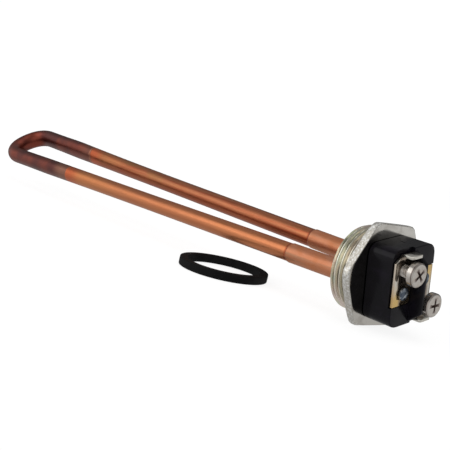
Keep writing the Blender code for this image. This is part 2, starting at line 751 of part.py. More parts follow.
def make_screw(side, sign, home, cutters, finish):
    """One terminal screw on its own axis: pan head with a cross recess, and a plain shank."""
    centre = Matrix.Rotation(terminal_turn(sign), 4, "X") @ Vector((SCREW_HEAD_X, -TERMINAL_LINE, SCREW_ROW))
    rounding = SCREW_HEAD_ROUND
    profile = [(0.0, SCREW_HEAD_HEIGHT)]
    for i in range(4):
        angle = math.radians(90 - 30 * i)
        profile.append(
            (
                SCREW_HEAD_RADIUS - rounding + rounding * math.cos(angle),
                SCREW_HEAD_HEIGHT - rounding + rounding * math.sin(angle),
            )
        )
    profile += [
        (SCREW_HEAD_RADIUS, 0.0),
        (SCREW_SHANK_RADIUS, 0.0),
        (SCREW_SHANK_RADIUS, -SCREW_SHANK_LENGTH + SCREW_TIP_CHAMFER),
        (SCREW_SHANK_RADIUS - SCREW_TIP_CHAMFER, -SCREW_SHANK_LENGTH),
        (0.0, -SCREW_SHANK_LENGTH),
    ]
    screw = turned(f"terminal_screw_{side}", profile, home, SCREW_STEPS, finish)
    screw.location = centre
    for index in range(2):
        low = (SCREW_HEAD_HEIGHT - CROSS_DEPTH, -CROSS_LENGTH / 2, -CROSS_WIDTH / 2)
        high = (SCREW_HEAD_HEIGHT + OVERSHOOT, CROSS_LENGTH / 2, CROSS_WIDTH / 2)
        slot = hide_cutter(box(f"cross_{side}_{index}", low, high, cutters))
        slot.location = centre
        slot.rotation_euler.x = CROSS_TURNS[side] + math.radians(90 * index)
        combine(screw, slot, "DIFFERENCE")
    shade(screw)


def make_gasket(home, finish):
    """The flat rubber ring that seals the hexagon's seat, lying beside the heater."""
    edge = GASKET_EDGE
    profile = [
        (GASKET_INNER_RADIUS + edge, GASKET_THICK),
        (GASKET_OUTER_RADIUS - edge, GASKET_THICK),
        (GASKET_OUTER_RADIUS, GASKET_THICK - edge),
        (GASKET_OUTER_RADIUS, edge),
        (GASKET_OUTER_RADIUS - edge, 0.0),
        (GASKET_INNER_RADIUS + edge, 0.0),
        (GASKET_INNER_RADIUS, edge),
        (GASKET_INNER_RADIUS, GASKET_THICK - edge),
        (GASKET_INNER_RADIUS + edge, GASKET_THICK),
    ]
    gasket = turned("gasket", profile, home, GASKET_STEPS, finish)
    gasket.rotation_euler = (0.0, 0.0, 0.0)
    gasket.location = (GASKET_X, GASKET_Y, REST_LEVEL)
    shade(gasket)


def main():
    """Builds the heater piece by piece."""
    clear_scene()
    home = collection_named("screw_plug_immersion_heater")
    cutters = collection_named("cutters")
    finishes = {
        "plug": material("zinc_plated_steel", (0.62, 0.60, 0.55), 0.35, 1.0),
        "copper": material("copper", (0.72, 0.36, 0.20), 0.35, 1.0),
        "magnesia": material("magnesia", (0.85, 0.83, 0.78), 0.9, 0.0),
        "nichrome": material("nichrome", (0.45, 0.44, 0.43), 0.4, 1.0),
        "pin": material("cold_pin_steel", (0.42, 0.45, 0.50), 0.4, 1.0),
        "seal": material("seal_silicone", (0.55, 0.22, 0.14), 0.6, 0.0),
        "ceramic": material("steatite", (0.80, 0.78, 0.72), 0.5, 0.0),
        "braze": material("braze_alloy", (0.75, 0.66, 0.48), 0.4, 1.0),
        "phenolic": material("black_phenolic", (0.02, 0.02, 0.022), 0.35, 0.0),
        "plate": material("plated_brass", (0.75, 0.66, 0.45), 0.3, 1.0),
        "screw": material("nickel_plate", (0.70, 0.68, 0.66), 0.3, 1.0),
        "rubber": material("black_rubber", (0.015, 0.015, 0.016), 0.55, 0.0),
    }
    make_plug(home, cutters, finishes["plug"])
    make_element(home, finishes)
    make_block(home, cutters, finishes["phenolic"])
    for side, sign in SIDES.items():
        make_leg_end(side, sign, home, cutters, finishes)
        make_plate(side, sign, home, cutters, finishes["plate"])
        make_screw(side, sign, home, cutters, finishes["screw"])
    make_gasket(home, finishes["rubber"])


main()
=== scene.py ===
"""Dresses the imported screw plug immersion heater: its plug, element, terminals, gasket and studio."""
import logging
import math
from collections.abc import Callable, Iterable, Sequence
from dataclasses import dataclass, field
from enum import Enum

import bmesh
import bpy
from mathutils import Matrix, Vector, noise


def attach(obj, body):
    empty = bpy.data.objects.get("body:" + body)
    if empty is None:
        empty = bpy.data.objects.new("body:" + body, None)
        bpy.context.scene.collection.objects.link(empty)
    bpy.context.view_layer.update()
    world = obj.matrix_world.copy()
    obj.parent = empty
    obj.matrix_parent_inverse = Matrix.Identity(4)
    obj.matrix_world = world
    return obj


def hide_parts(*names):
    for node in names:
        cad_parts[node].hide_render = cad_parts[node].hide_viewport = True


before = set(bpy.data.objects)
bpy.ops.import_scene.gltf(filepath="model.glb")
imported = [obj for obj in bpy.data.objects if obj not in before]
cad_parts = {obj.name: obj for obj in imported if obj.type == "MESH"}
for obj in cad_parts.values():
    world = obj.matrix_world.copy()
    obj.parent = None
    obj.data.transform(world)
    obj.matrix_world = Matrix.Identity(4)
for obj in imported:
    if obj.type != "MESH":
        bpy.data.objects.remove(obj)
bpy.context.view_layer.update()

LOG = logging.getLogger("heater")
MM = 0.001

Colour = tuple[float, float, float]
Place = tuple[float, float, float]
Profile = Sequence[tuple[float, float]]
Station = tuple[Vector, Vector, float]
Socket = bpy.types.NodeSocket
Input = float | int | Sequence[float] | Socket
Shape = bmesh.types.BMesh
Piece = bpy.types.Object


class Side(Enum):
    """A terminal and its leg, as seen facing the terminals."""

    RIGHT = 1
    LEFT = -1

    @property
    def word(self) -> str:
        """The side's name, as the pieces and bodies have it."""
        return self.name.lower()


class Body(Enum):
    """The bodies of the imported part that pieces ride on."""

    HEATER = "heater"
    SCREW_LEFT = "screw_left"
    SCREW_RIGHT = "screw_right"

    @staticmethod
    def of_screw(side: Side) -> "Body":
        """The body of the terminal screw on one side."""
        return Body.SCREW_RIGHT if side is Side.RIGHT else Body.SCREW_LEFT


# Nodes of the finishes


class Nodes:
    """A node tree, with short calls for the nodes that the finishes and the room share."""

    def __init__(self, tree: bpy.types.NodeTree) -> None:
        """Takes the tree that the nodes go into.

        Args:
            tree: The tree.
        """
        self.tree = tree

    def put(self, socket: Socket, value: Input) -> None:
        """Links or sets one input.

        Args:
            socket: The input to fill.
            value: A number, a vector or another node's output.
        """
        if isinstance(value, Socket):
            self.tree.links.new(value, socket)
        else:
            socket.default_value = value

    def math(self, kind: str, *values: Input, clamp: bool = False) -> Socket:
        """A Math node.

        Args:
            kind: The node's operation.
            values: Its inputs in order.
            clamp: Whether the result is kept from 0 to 1.

        Returns:
            The result.
        """
        node = self.tree.nodes.new("ShaderNodeMath")
        node.operation = kind
        node.use_clamp = clamp
        for socket, value in zip(node.inputs, values):
            self.put(socket, value)
        return node.outputs[0]

    def times(self, first: Input, second: Input) -> Socket:
        """One number multiplied by another."""
        return self.math("MULTIPLY", first, second)

    def plus(self, first: Input, second: Input) -> Socket:
        """The sum of two numbers."""
        return self.math("ADD", first, second)

    def minus(self, first: Input, second: Input) -> Socket:
        """One number less another."""
        return self.math("SUBTRACT", first, second)

    def linear(self, value: Input, slope: Input, start: Input) -> Socket:
        """A start, plus a number times a slope."""
        return self.math("MULTIPLY_ADD", value, slope, start)

    def vector_math(self, kind: str, first: Input, second: Input) -> Socket:
        """A Vector Math node.

        Args:
            kind: The node's operation.
            first: Its first vector.
            second: Its second vector.

        Returns:
            The result, a number for a dot product or a distance and otherwise a vector.
        """
        node = self.tree.nodes.new("ShaderNodeVectorMath")
        node.operation = kind
        self.put(node.inputs[0], first)
        self.put(node.inputs[1], second)
        return node.outputs["Value" if kind in ("DOT_PRODUCT", "DISTANCE") else "Vector"]

    def scaled(self, vector: Input, factors: Sequence[float]) -> Socket:
        """A vector multiplied by three factors."""
        return self.vector_math("MULTIPLY", vector, factors)

    def dot(self, vector: Input, along: Sequence[float]) -> Socket:
        """How far a vector reaches along a direction."""
        return self.vector_math("DOT_PRODUCT", vector, along)

    def distance(self, vector: Input, point: Input) -> Socket:
        """The distance between two points."""
        return self.vector_math("DISTANCE", vector, point)

    def parts(self, vector: Input) -> list[Socket]:
        """The three numbers of a vector.

        Args:
            vector: The vector.

        Returns:
            Its x, y and z.
        """
        node = self.tree.nodes.new("ShaderNodeSeparateXYZ")
        self.put(node.inputs[0], vector)
        return list(node.outputs)

    def spread(
        self, value: Input, low: float, high: float, to_low: float = 0.0, to_high: float = 1.0
    ) -> Socket:
        """Maps a range of values smoothly onto another and holds it there.

        Args:
            value: The value to map.
            low: Start of its range.
            high: End of its range.
            to_low: What the start becomes.
            to_high: What the end becomes.

        Returns:
            The mapped value.
        """
        node = self.tree.nodes.new("ShaderNodeMapRange")
        node.interpolation_type = "SMOOTHSTEP"
        for socket, number in zip(node.inputs, (value, low, high, to_low, to_high)):
            self.put(socket, number)
        return node.outputs[0]

    def blend(self, share: Input, first: Input, second: Input, kind: str = "MIX") -> Socket:
        """Mixes two colours.

        Args:
            share: How much of the second colour there is.
            first: The first colour.
            second: The second colour.
            kind: The blend type.

        Returns:
            The mixed colour.
        """
        node = self.tree.nodes.new("ShaderNodeMix")
        node.data_type = "RGBA"
        node.blend_type = kind
        self.put(node.inputs[0], share)
        for socket, colour in ((node.inputs[6], first), (node.inputs[7], second)):
            self.put(socket, colour if isinstance(colour, Socket) else (*colour, 1.0))
        return node.outputs[2]

    def blend_value(self, share: Input, first: Input, second: Input) -> Socket:
        """A number between two others.

        Args:
            share: 0 for the first and 1 for the second.
            first: The first number.
            second: The second.

        Returns:
            The number.
        """
        rest = self.minus(1.0, share)
        return self.plus(self.times(first, rest), self.times(share, second))

    def clouds(self, vector: Input, scale: float, detail: float = 3.0, twist: float = 0.0) -> Socket:
        """Soft noise from 0 to 1.

        Args:
            vector: Where it is read.
            scale: Cells to the metre.
            detail: Octaves.
            twist: Distortion.

        Returns:
            The noise.
        """
        node = self.tree.nodes.new("ShaderNodeTexNoise")
        self.put(node.inputs["Vector"], vector)
        node.inputs["Scale"].default_value = scale
        node.inputs["Detail"].default_value = detail
        node.inputs["Distortion"].default_value = twist
        return node.outputs["Fac"]

    def cells(self, vector: Input, scale: float) -> Socket:
        """Distance to the nearest point of a scatter.

        Args:
            vector: Where it is read.
            scale: Points to the metre.

        Returns:
            The distance, in cells.
        """
        node = self.tree.nodes.new("ShaderNodeTexVoronoi")
        self.put(node.inputs["Vector"], vector)
        node.inputs["Scale"].default_value = scale
        return node.outputs["Distance"]

    def ramp(self, value: Input, stops: Sequence[tuple[float, Colour]]) -> Socket:
        """A colour ramp.

        Args:
            value: The value from 0 to 1.
            stops: Places and their colours.

        Returns:
            The colour.
        """
        node = self.tree.nodes.new("ShaderNodeValToRGB")
        self.put(node.inputs[0], value)
        marks = node.color_ramp.elements
        while len(marks) < len(stops):
            marks.new(0.5)
        for mark, (position, colour) in zip(marks, stops):
            mark.position = position
            mark.color = (*colour, 1.0)
        return node.outputs[0]

    def relief(self, height: Input, depth: float, base: Input | None = None) -> Socket:
        """Turns a height into a bumped normal.

        Args:
            height: The height from 0 to 1.
            depth: What a height of 1 is, in metres.
            base: A normal to start from.

        Returns:
            The normal.
        """
        node = self.tree.nodes.new("ShaderNodeBump")
        node.inputs["Distance"].default_value = depth
        self.put(node.inputs["Height"], height)
        if base is not None:
            self.put(node.inputs["Normal"], base)
        return node.outputs[0]


class FinishNodes(Nodes):
    """The node tree of one finish."""

    def __init__(self, name: str) -> None:
        """Starts a tree with a Principled shader and the place on the object.

        Args:
            name: Name of the material.
        """
        self.material = bpy.data.materials.new(name)
        self.material.use_nodes = True
        super().__init__(self.material.node_tree)
        self.shader = self.tree.nodes["Principled BSDF"]
        place = self.tree.nodes.new("ShaderNodeTexCoord")
        self.place = place.outputs["Object"]

    def set(self, **sockets: Input) -> None:
        """Fills the shader's own inputs, named with underscores for spaces.

        Args:
            sockets: The value of each input.
        """
        for name, value in sockets.items():
            self.put(self.shader.inputs[name.replace("_", " ")], value)

    def mottled(self, scale: float, detail: float = 3.0, twist: float = 0.0) -> Socket:
        """Soft noise over the object, as `clouds` makes it."""
        return self.clouds(self.place, scale, detail, twist)

    def stretched(
        self, factors: Sequence[float], scale: float, detail: float = 3.0, twist: float = 0.0
    ) -> Socket:
        """Soft noise over the object with its cells drawn out, as `clouds` makes it."""
        return self.clouds(self.scaled(self.place, factors), scale, detail, twist)


@dataclass(frozen=True)
class Finish:
    """One finish: its slot in the record and its look."""

    slot: str = ""

    @property
    def label(self) -> str:
        """Name of the finish's material."""
        return type(self).__name__

    def paint(self, nodes: FinishNodes) -> None:
        """Lays the finish on an empty tree."""
        raise NotImplementedError

    def material(self) -> bpy.types.Material:
        """The finish's material, made once and shared.

        Returns:
            The material.
        """
        if self.label not in bpy.data.materials:
            self.paint(FinishNodes(self.label))
        return bpy.data.materials[self.label]


@dataclass(frozen=True)
class DrawnCopper(Finish):
    """Copper tube with heat tints at its bend, drawing streaks, and paler full-size ends."""

    slot: str = "copper"
    left_tint_x: float = -193.0 * MM
    right_tint_x: float = -199.0 * MM
    full_end_x: float = -38.0 * MM
    plane_angle: float = math.radians(29.9)
    orange: Colour = (0.580, 0.214, 0.075)
    brown: Colour = (0.53, 0.190, 0.080)
    # Painted shade: the far leg's colour is multiplied by this, for the light that the near leg keeps off it.
    far_leg_shade: Colour = (0.82, 0.80, 0.86)
    red: Colour = (0.37, 0.080, 0.034)
    # Deep red of the painted shade under the far leg.
    under_shade: Colour = (0.34, 0.072, 0.020)
    rust: Colour = (0.52, 0.105, 0.036)
    gold: Colour = (0.44, 0.205, 0.070)
    bend: Colour = (0.105, 0.028, 0.023)
    bend_warm: Colour = (0.210, 0.048, 0.029)
    smoke: Colour = (0.270, 0.120, 0.076)
    salmon: Colour = (0.56, 0.235, 0.130)
    olive: Colour = (0.33, 0.235, 0.150)
    spots: tuple[tuple[Place, float, float], ...] = (
        ((-170.5 * MM, 5.2 * MM, 2.2 * MM), 2.4 * MM, 0.9),
        ((-80.0 * MM, 7.2 * MM, 5.6 * MM), 3.0 * MM, 0.6),
    )
    spot_squash: float = 0.8
    orange_run: float = 60.0 * MM
    far_under_shade: float = 0.72

    def base(self, nodes: FinishNodes, right: Input, streak: Input) -> Socket:
        """The drawn tube's colour, with painted shade that makes the far leg darker and redder, most on its
        underside.

        Args:
            nodes: The finish's nodes.
            right: 1 on the right leg and 0 on the left.
            streak: The drawing streaks.

        Returns:
            The colour.
        """
        x = nodes.parts(nodes.place)[0]
        blotch = nodes.mottled(62.0, 4.0, 0.6)
        from_bend = nodes.spread(x, self.left_tint_x, self.left_tint_x + self.orange_run)
        colour = nodes.blend(from_bend, self.orange, self.brown)
        colour = nodes.blend(nodes.spread(blotch, 0.50, 0.70, 0.0, 0.5), colour, self.orange)
        patches = nodes.stretched((0.5, 1.0, 1.0), 110.0, 3.0, 0.7)
        golden = nodes.spread(patches, 0.48, 0.62, 0.0, 0.6)
        early = nodes.spread(x, -110.0 * MM, -150.0 * MM)
        colour = nodes.blend(nodes.times(nodes.times(golden, early), right), colour, self.gold)
        # Red drawing streaks, made stronger on the far leg as painted shade; the far leg is also darkened as
        # painted shade, for the light that the near leg keeps off it.
        streak_red_and_shade = nodes.linear(right, 0.55, 0.16)
        colour = nodes.blend(right, colour, nodes.blend(1.0, colour, self.far_leg_shade, "MULTIPLY"))
        colour = nodes.blend(nodes.times(nodes.spread(streak, 0.42, 0.66), streak_red_and_shade), colour, self.red)
        # Painted shade: the far leg darkens to deep red towards its underside.
        over = nodes.dot(nodes.place, (0.0, -math.sin(self.plane_angle), math.cos(self.plane_angle)))
        under = nodes.times(nodes.spread(over, 2.6 * MM, -0.6 * MM), nodes.times(right, self.far_under_shade))
        return nodes.blend(under, colour, self.under_shade)

    def tinted(self, nodes: FinishNodes, past: Input, right: Input) -> Socket:
        """The bend's colour, heated brown and purple with a smoky band before it.

        Args:
            nodes: The finish's nodes.
            past: How far a place lies past the tint's edge.
            right: 1 on the right leg and 0 on the left.

        Returns:
            The colour.
        """
        warm = nodes.mottled(70.0, 2.0)
        hot = nodes.blend(nodes.spread(warm, 0.40, 0.66), self.bend, self.bend_warm)
        smoke = nodes.spread(past, -13.5 * MM, -4.5 * MM)
        hot = nodes.blend(nodes.times(smoke, nodes.linear(right, -0.5, 0.85)), hot, self.smoke)
        line = nodes.spread(nodes.math("ABSOLUTE", nodes.plus(past, 0.9 * MM)), 0.2 * MM, 0.7 * MM, 0.5, 0.0)
        return nodes.blend(nodes.times(line, right), hot, self.salmon)

    def full_size(self, nodes: FinishNodes, streak: Input) -> Socket:
        """The colour of the tube's full-size ends, paler and mottled.

        Args:
            nodes: The finish's nodes.
            streak: The drawing streaks.

        Returns:
            The colour.
        """
        mottle = nodes.mottled(150.0, 4.0, 0.4)
        colour = nodes.blend(nodes.spread(mottle, 0.38, 0.66, 0.0, 0.8), self.salmon, self.brown)
        return nodes.blend(nodes.spread(streak, 0.50, 0.72, 0.0, 0.45), colour, self.olive)

    def paint(self, nodes: FinishNodes) -> None:
        """Tints by the place along each leg, with streaks along it and faint blotches.

        Args:
            nodes: The finish's nodes.
        """
        x, y, _ = nodes.parts(nodes.place)
        right = nodes.math("GREATER_THAN", y, 0.0)
        waver = nodes.linear(nodes.mottled(260.0, 2.0), 1.6 * MM, -0.8 * MM)
        tint_x = nodes.linear(right, self.right_tint_x - self.left_tint_x, self.left_tint_x)
        past = nodes.plus(nodes.minus(x, tint_x), waver)
        streak = nodes.stretched((0.045, 1.0, 1.0), 900.0, 4.0)
        fine = nodes.stretched((0.02, 1.0, 1.0), 3200.0, 2.0)
        body = self.base(nodes, right, streak)
        rust = nodes.spread(past, 14.0 * MM, 3.0 * MM, 0.0, 0.85)
        body = nodes.blend(rust, body, self.rust)
        colour = nodes.blend(nodes.spread(past, -0.35 * MM, 0.35 * MM), self.tinted(nodes, past, right), body)
        for centre, reach, depth in self.spots:
            place = nodes.scaled(nodes.place, (self.spot_squash, 1.0, 1.0))
            away = nodes.distance(place, (centre[0] * self.spot_squash, *centre[1:]))
            colour = nodes.blend(nodes.spread(away, reach * 0.3, reach, depth, 0.0), colour, self.red)
        end = nodes.spread(x, self.full_end_x - 0.7 * MM, self.full_end_x - 0.1 * MM)
        colour = nodes.blend(end, colour, self.full_size(nodes, streak))
        step = nodes.math("ABSOLUTE", nodes.minus(x, self.full_end_x - 0.8 * MM))
        colour = nodes.blend(nodes.spread(step, 0.2 * MM, 0.9 * MM, 0.75, 0.0), colour, self.red)
        darker = nodes.blend(0.5, colour, self.bend)
        colour = nodes.blend(nodes.spread(fine, 0.35, 0.75, 0.0, 0.20), colour, darker)
        dull = nodes.linear(nodes.mottled(150.0, 4.0), 0.20, 0.24)
        dull = nodes.plus(dull, nodes.times(end, 0.14))
        cuts = nodes.relief(nodes.plus(streak, fine), 0.02 * MM)
        dents = nodes.relief(nodes.mottled(220.0, 3.0), 0.06 * MM, cuts)
        nodes.set(Base_Color=colour, Metallic=0.9, Roughness=dull, Normal=dents)


@dataclass(frozen=True)
class PlatedSteel(Finish):
    """Zinc plated steel with a pale chromate film that shimmers yellow, green and pink."""

    slot: str = "zinc_plated_steel"
    face_x: float = 3.4 * MM
    grey: Colour = (0.62, 0.600, 0.560)
    # Dark colour for smudges and grain, and for the painted shade on the face and flats.
    smear_and_shade: Colour = (0.34, 0.318, 0.285)
    flats: Colour = (0.60, 0.585, 0.545)
    speck: Colour = (0.86, 0.86, 0.84)
    cream: Colour = (0.80, 0.725, 0.590)
    green: Colour = (0.60, 0.655, 0.540)
    pink: Colour = (0.78, 0.640, 0.600)
    beige: Colour = (0.60, 0.545, 0.445)
    # Dark colour of the painted shade in the thread's root.
    painted_shade: Colour = (0.13, 0.115, 0.095)
    ring_pitch: float = 0.22 * MM

    def film(self, nodes: FinishNodes, x: Input, radius: Input) -> Socket:
        """The thread's film, which shimmers by thickness, with painted shade in patches at the thread's root.

        Args:
            nodes: The finish's nodes.
            x: Place along the thread.
            radius: Distance from its axis.

        Returns:
            The colour.
        """
        soft = nodes.mottled(85.0, 3.0, 0.8)
        bands = nodes.stretched((4.0, 1.0, 1.0), 120.0, 2.0, 0.4)
        shimmer = nodes.ramp(nodes.linear(bands, 0.7, nodes.times(soft, 0.3)), (
            (0.30, self.cream), (0.42, self.green), (0.50, self.cream), (0.60, self.pink), (0.72, self.beige),
        ))
        colour = nodes.blend(nodes.spread(x, -2.5 * MM, -8.5 * MM, 0.25, 0.85), self.beige, shimmer)
        # Painted shade in the thread's root, in patches.
        shade_patches = nodes.spread(nodes.mottled(240.0, 4.0, 0.5), 0.36, 0.62, 0.25, 0.95)
        root = nodes.spread(radius, 15.9 * MM, 15.3 * MM)
        return nodes.blend(nodes.times(root, shade_patches), colour, self.painted_shade)

    def paint(self, nodes: FinishNodes) -> None:
        """A polished face with faint turned rings, grained flats, and the film over the thread.

        Args:
            nodes: The finish's nodes.
        """
        x, y, z = nodes.parts(nodes.place)
        radius = nodes.math("SQRT", nodes.plus(nodes.times(y, y), nodes.times(z, z)))
        face = nodes.spread(x, self.face_x - 0.22 * MM, self.face_x - 0.06 * MM)
        rough = nodes.minus(1.0, face)
        smudge = nodes.mottled(130.0, 4.0, 0.9)
        # Painted shade: the polished face darkens towards its lower left, on top of its real smudges.
        low = nodes.spread(nodes.plus(z, nodes.times(y, 0.8)), 17.0 * MM, 2.0 * MM, 0.0, 0.5)
        smudge_and_shade = nodes.math("ADD", low, nodes.spread(smudge, 0.40, 0.68, 0.0, 0.55), clamp=True)
        polished = nodes.blend(smudge_and_shade, self.grey, self.smear_and_shade)
        grain = nodes.mottled(1300.0, 3.0)
        ground = nodes.blend(nodes.spread(smudge, 0.40, 0.68, 0.0, 0.5), self.flats, self.beige)
        ground = nodes.blend(nodes.spread(grain, 0.50, 0.62, 0.0, 0.85), ground, self.speck)
        ground = nodes.blend(nodes.spread(grain, 0.46, 0.34, 0.0, 0.55), ground, self.smear_and_shade)
        # Painted shade: the flats darken towards the bottom.
        ground = nodes.blend(nodes.spread(z, 2.0 * MM, -12.0 * MM, 0.0, 0.35), ground, self.smear_and_shade)
        hexagon = nodes.blend(face, ground, polished)
        colour = nodes.blend(nodes.spread(x, 0.0, -1.2 * MM), hexagon, self.film(nodes, x, radius))
        on_flats = nodes.times(rough, nodes.spread(x, -0.2 * MM, 0.2 * MM))
        dull = nodes.linear(nodes.mottled(420.0, 4.0), 0.08, 0.05)
        dull = nodes.plus(dull, nodes.times(rough, 0.12))
        dull = nodes.plus(dull, nodes.times(on_flats, 0.22))
        rings = nodes.math("SINE", nodes.times(radius, 2 * math.pi / self.ring_pitch))
        turned = nodes.relief(nodes.times(rings, 0.5), 0.0015 * MM)
        tooth = nodes.mottled(4200.0, 3.0)
        bump = nodes.relief(nodes.times(tooth, on_flats), 0.05 * MM, turned)
        metal = nodes.linear(face, 0.1, 0.9)
        nodes.set(Base_Color=colour, Metallic=metal, Roughness=dull, Normal=bump)


@dataclass(frozen=True)
class BlackPhenolic(Finish):
    """Moulded black phenolic: nearly black and satin, with flow marks that carry a painted violet sheen."""

    slot: str = "black_phenolic"
    black: Colour = (0.0042, 0.0038, 0.0050)
    # Violet tint of the painted sheen.
    violet_sheen: Colour = (0.011, 0.008, 0.015)
    speck: Colour = (0.02, 0.018, 0.02)

    def paint(self, nodes: FinishNodes) -> None:
        """Faint filler specks and flow clouds with a painted violet sheen, glossier where the mould was smooth.

        Args:
            nodes: The finish's nodes.
        """
        flow_and_sheen = nodes.mottled(130.0, 4.0, 1.0)
        specks = nodes.mottled(3400.0, 2.0)
        # Painted sheen: the flow clouds are tinted violet.
        colour = nodes.blend(nodes.spread(flow_and_sheen, 0.45, 0.80, 0.0, 0.55), self.black, self.violet_sheen)
        colour = nodes.blend(nodes.spread(specks, 0.62, 0.80, 0.0, 0.25), colour, self.speck)
        dull = nodes.linear(nodes.mottled(600.0, 3.0), 0.14, 0.12)
        skin = nodes.relief(nodes.mottled(1500.0, 4.0), 0.006 * MM)
        nodes.set(Base_Color=colour, Roughness=dull, Normal=skin, Specular_IOR_Level=0.11)


@dataclass(frozen=True)
class PlatedBrass(Finish):
    """Brass strip with a thin bright plating that has gone yellow towards its tail."""

    slot: str = "plated_brass"
    silver: Colour = (0.60, 0.575, 0.515)
    brass: Colour = (0.62, 0.43, 0.17)
    tan: Colour = (0.55, 0.36, 0.20)
    # Colour of the painted shade and dark reflection on the plate's inner flat.
    reflected_shade: Colour = (0.215, 0.165, 0.125)

    def paint(self, nodes: FinishNodes) -> None:
        """Silvery by the lip and yellow by the tail and outer edge, with fine rolling lines.

        Args:
            nodes: The finish's nodes.
        """
        x, y, _ = nodes.parts(nodes.place)
        level, rise = math.cos(Terminals.turn), math.sin(Terminals.turn)
        across = nodes.math("ABSOLUTE", nodes.dot(nodes.place, (0.0, level, rise)))
        along = nodes.times(nodes.dot(nodes.place, (0.0, -rise, level)), nodes.math("SIGN", y))
        wander = nodes.mottled(240.0, 3.0, 0.5)
        low = nodes.plus(along, nodes.linear(wander, 5.0 * MM, -2.5 * MM))
        yellow = nodes.spread(low, -3.5 * MM, 4.5 * MM)
        edge = nodes.spread(across, 9.6 * MM, 11.0 * MM, 0.0, 0.35)
        colour = nodes.blend(yellow, self.silver, self.brass)
        colour = nodes.blend(edge, colour, self.tan)
        # Painted shade and a painted dark reflection of the screw head, on the inner part of the plate's flat.
        flat = nodes.spread(x, 16.1 * MM, 15.9 * MM)
        inside = nodes.linear(yellow, 1.8 * MM, across)
        inside = nodes.spread(inside, 9.8 * MM, 8.6 * MM, 0.0, 0.85)
        colour = nodes.blend(nodes.times(inside, flat), colour, self.reflected_shade)
        rolled = nodes.stretched((1.0, 1.0, 0.06), 2600.0, 3.0)
        dull = nodes.linear(rolled, 0.10, 0.05)
        lines = nodes.relief(rolled, 0.003 * MM)
        nodes.set(Base_Color=colour, Metallic=0.95, Roughness=dull, Normal=lines)


@dataclass(frozen=True)
class NickelPlate(Finish):
    """Satin nickel, with painted shade in the cross recess and a painted dark line round the head's front edge.
    """

    slot: str = "nickel_plate"
    nickel: Colour = (0.50, 0.468, 0.430)
    # Dark colour of the painted shade in the recess and at the head's front edge.
    warm: Colour = (0.43, 0.372, 0.318)
    painted_shade: Colour = (0.060, 0.030, 0.022)
    rim_x: float = 21.75 * MM
    rim_half: float = 0.16 * MM

    def paint(self, nodes: FinishNodes) -> None:
        """Fine scratches, darker inside the recess.

        Args:
            nodes: The finish's nodes.
        """
        mark = nodes.tree.nodes.new("ShaderNodeAttribute")
        mark.attribute_name = "painted_shade"
        dark = nodes.spread(mark.outputs["Fac"], 0.25, 0.85)
        stain = nodes.mottled(420.0, 4.0, 0.6)
        colour = nodes.blend(nodes.spread(stain, 0.42, 0.70, 0.0, 0.7), self.nickel, self.warm)
        x = nodes.parts(nodes.place)[0]
        # Painted shade: a dark line round the head where its side turns into its rounded front edge.
        off = nodes.math("ABSOLUTE", nodes.minus(x, self.rim_x))
        line = nodes.spread(off, self.rim_half * 2, self.rim_half, 0.0, 0.7)
        colour = nodes.blend(line, colour, self.painted_shade)
        # Painted shade inside the cross recess.
        colour = nodes.blend(nodes.times(dark, 0.94), colour, self.painted_shade)
        scratches = nodes.stretched((1.0, 0.12, 1.0), 4200.0, 3.0)
        dull = nodes.linear(nodes.mottled(900.0, 3.0), 0.14, 0.15)
        dull = nodes.plus(dull, nodes.times(dark, 0.25))
        fine = nodes.relief(scratches, 0.012 * MM)
        shine = nodes.linear(dark, -0.75, 0.92)
        nodes.set(Base_Color=colour, Metallic=shine, Roughness=dull, Normal=fine)


@dataclass(frozen=True)
class PinSteel(Finish):
    """Blue grey steel of the swaged cold pins."""

    slot: str = "cold_pin_steel"
    steel: Colour = (0.085, 0.105, 0.135)
    # Colour of the painted highlights.
    pale: Colour = (0.52, 0.56, 0.60)

    def paint(self, nodes: FinishNodes) -> None:
        """Pale patches as painted highlights on a darker base, with a hammered bump.

        Args:
            nodes: The finish's nodes.
        """
        hammer = nodes.cells(nodes.place, 620.0)
        highlight_patch = nodes.mottled(520.0, 3.0, 0.7)
        # Painted highlights: pale patches on the dark steel.
        colour = nodes.blend(nodes.spread(highlight_patch, 0.50, 0.64), self.steel, self.pale)
        dull = nodes.linear(highlight_patch, 0.25, 0.18)
        beaten = nodes.relief(hammer, 0.09 * MM)
        nodes.set(Base_Color=colour, Metallic=0.9, Roughness=dull, Normal=beaten)


@dataclass(frozen=True)
class BlackRubber(Finish):
    """Moulded black rubber with a faint bloom and dust."""

    slot: str = "black_rubber"
    black: Colour = (0.0022, 0.0021, 0.0023)
    bloom: Colour = (0.0075, 0.0070, 0.0072)
    dust: Colour = (0.04, 0.038, 0.036)

    def paint(self, nodes: FinishNodes) -> None:
        """A soft bloom with fine pores.

        Args:
            nodes: The finish's nodes.
        """
        cloud = nodes.mottled(160.0, 4.0, 0.8)
        pores = nodes.mottled(2400.0, 3.0)
        settled = nodes.cells(nodes.place, 520.0)
        colour = nodes.blend(nodes.spread(cloud, 0.42, 0.78, 0.0, 0.7), self.black, self.bloom)
        colour = nodes.blend(nodes.spread(settled, 0.05, 0.10, 0.30, 0.0), colour, self.dust)
        dull = nodes.linear(cloud, 0.22, 0.55)
        skin = nodes.relief(pores, 0.03 * MM)
        nodes.set(Base_Color=colour, Roughness=dull, Normal=skin, Specular_IOR_Level=0.10)


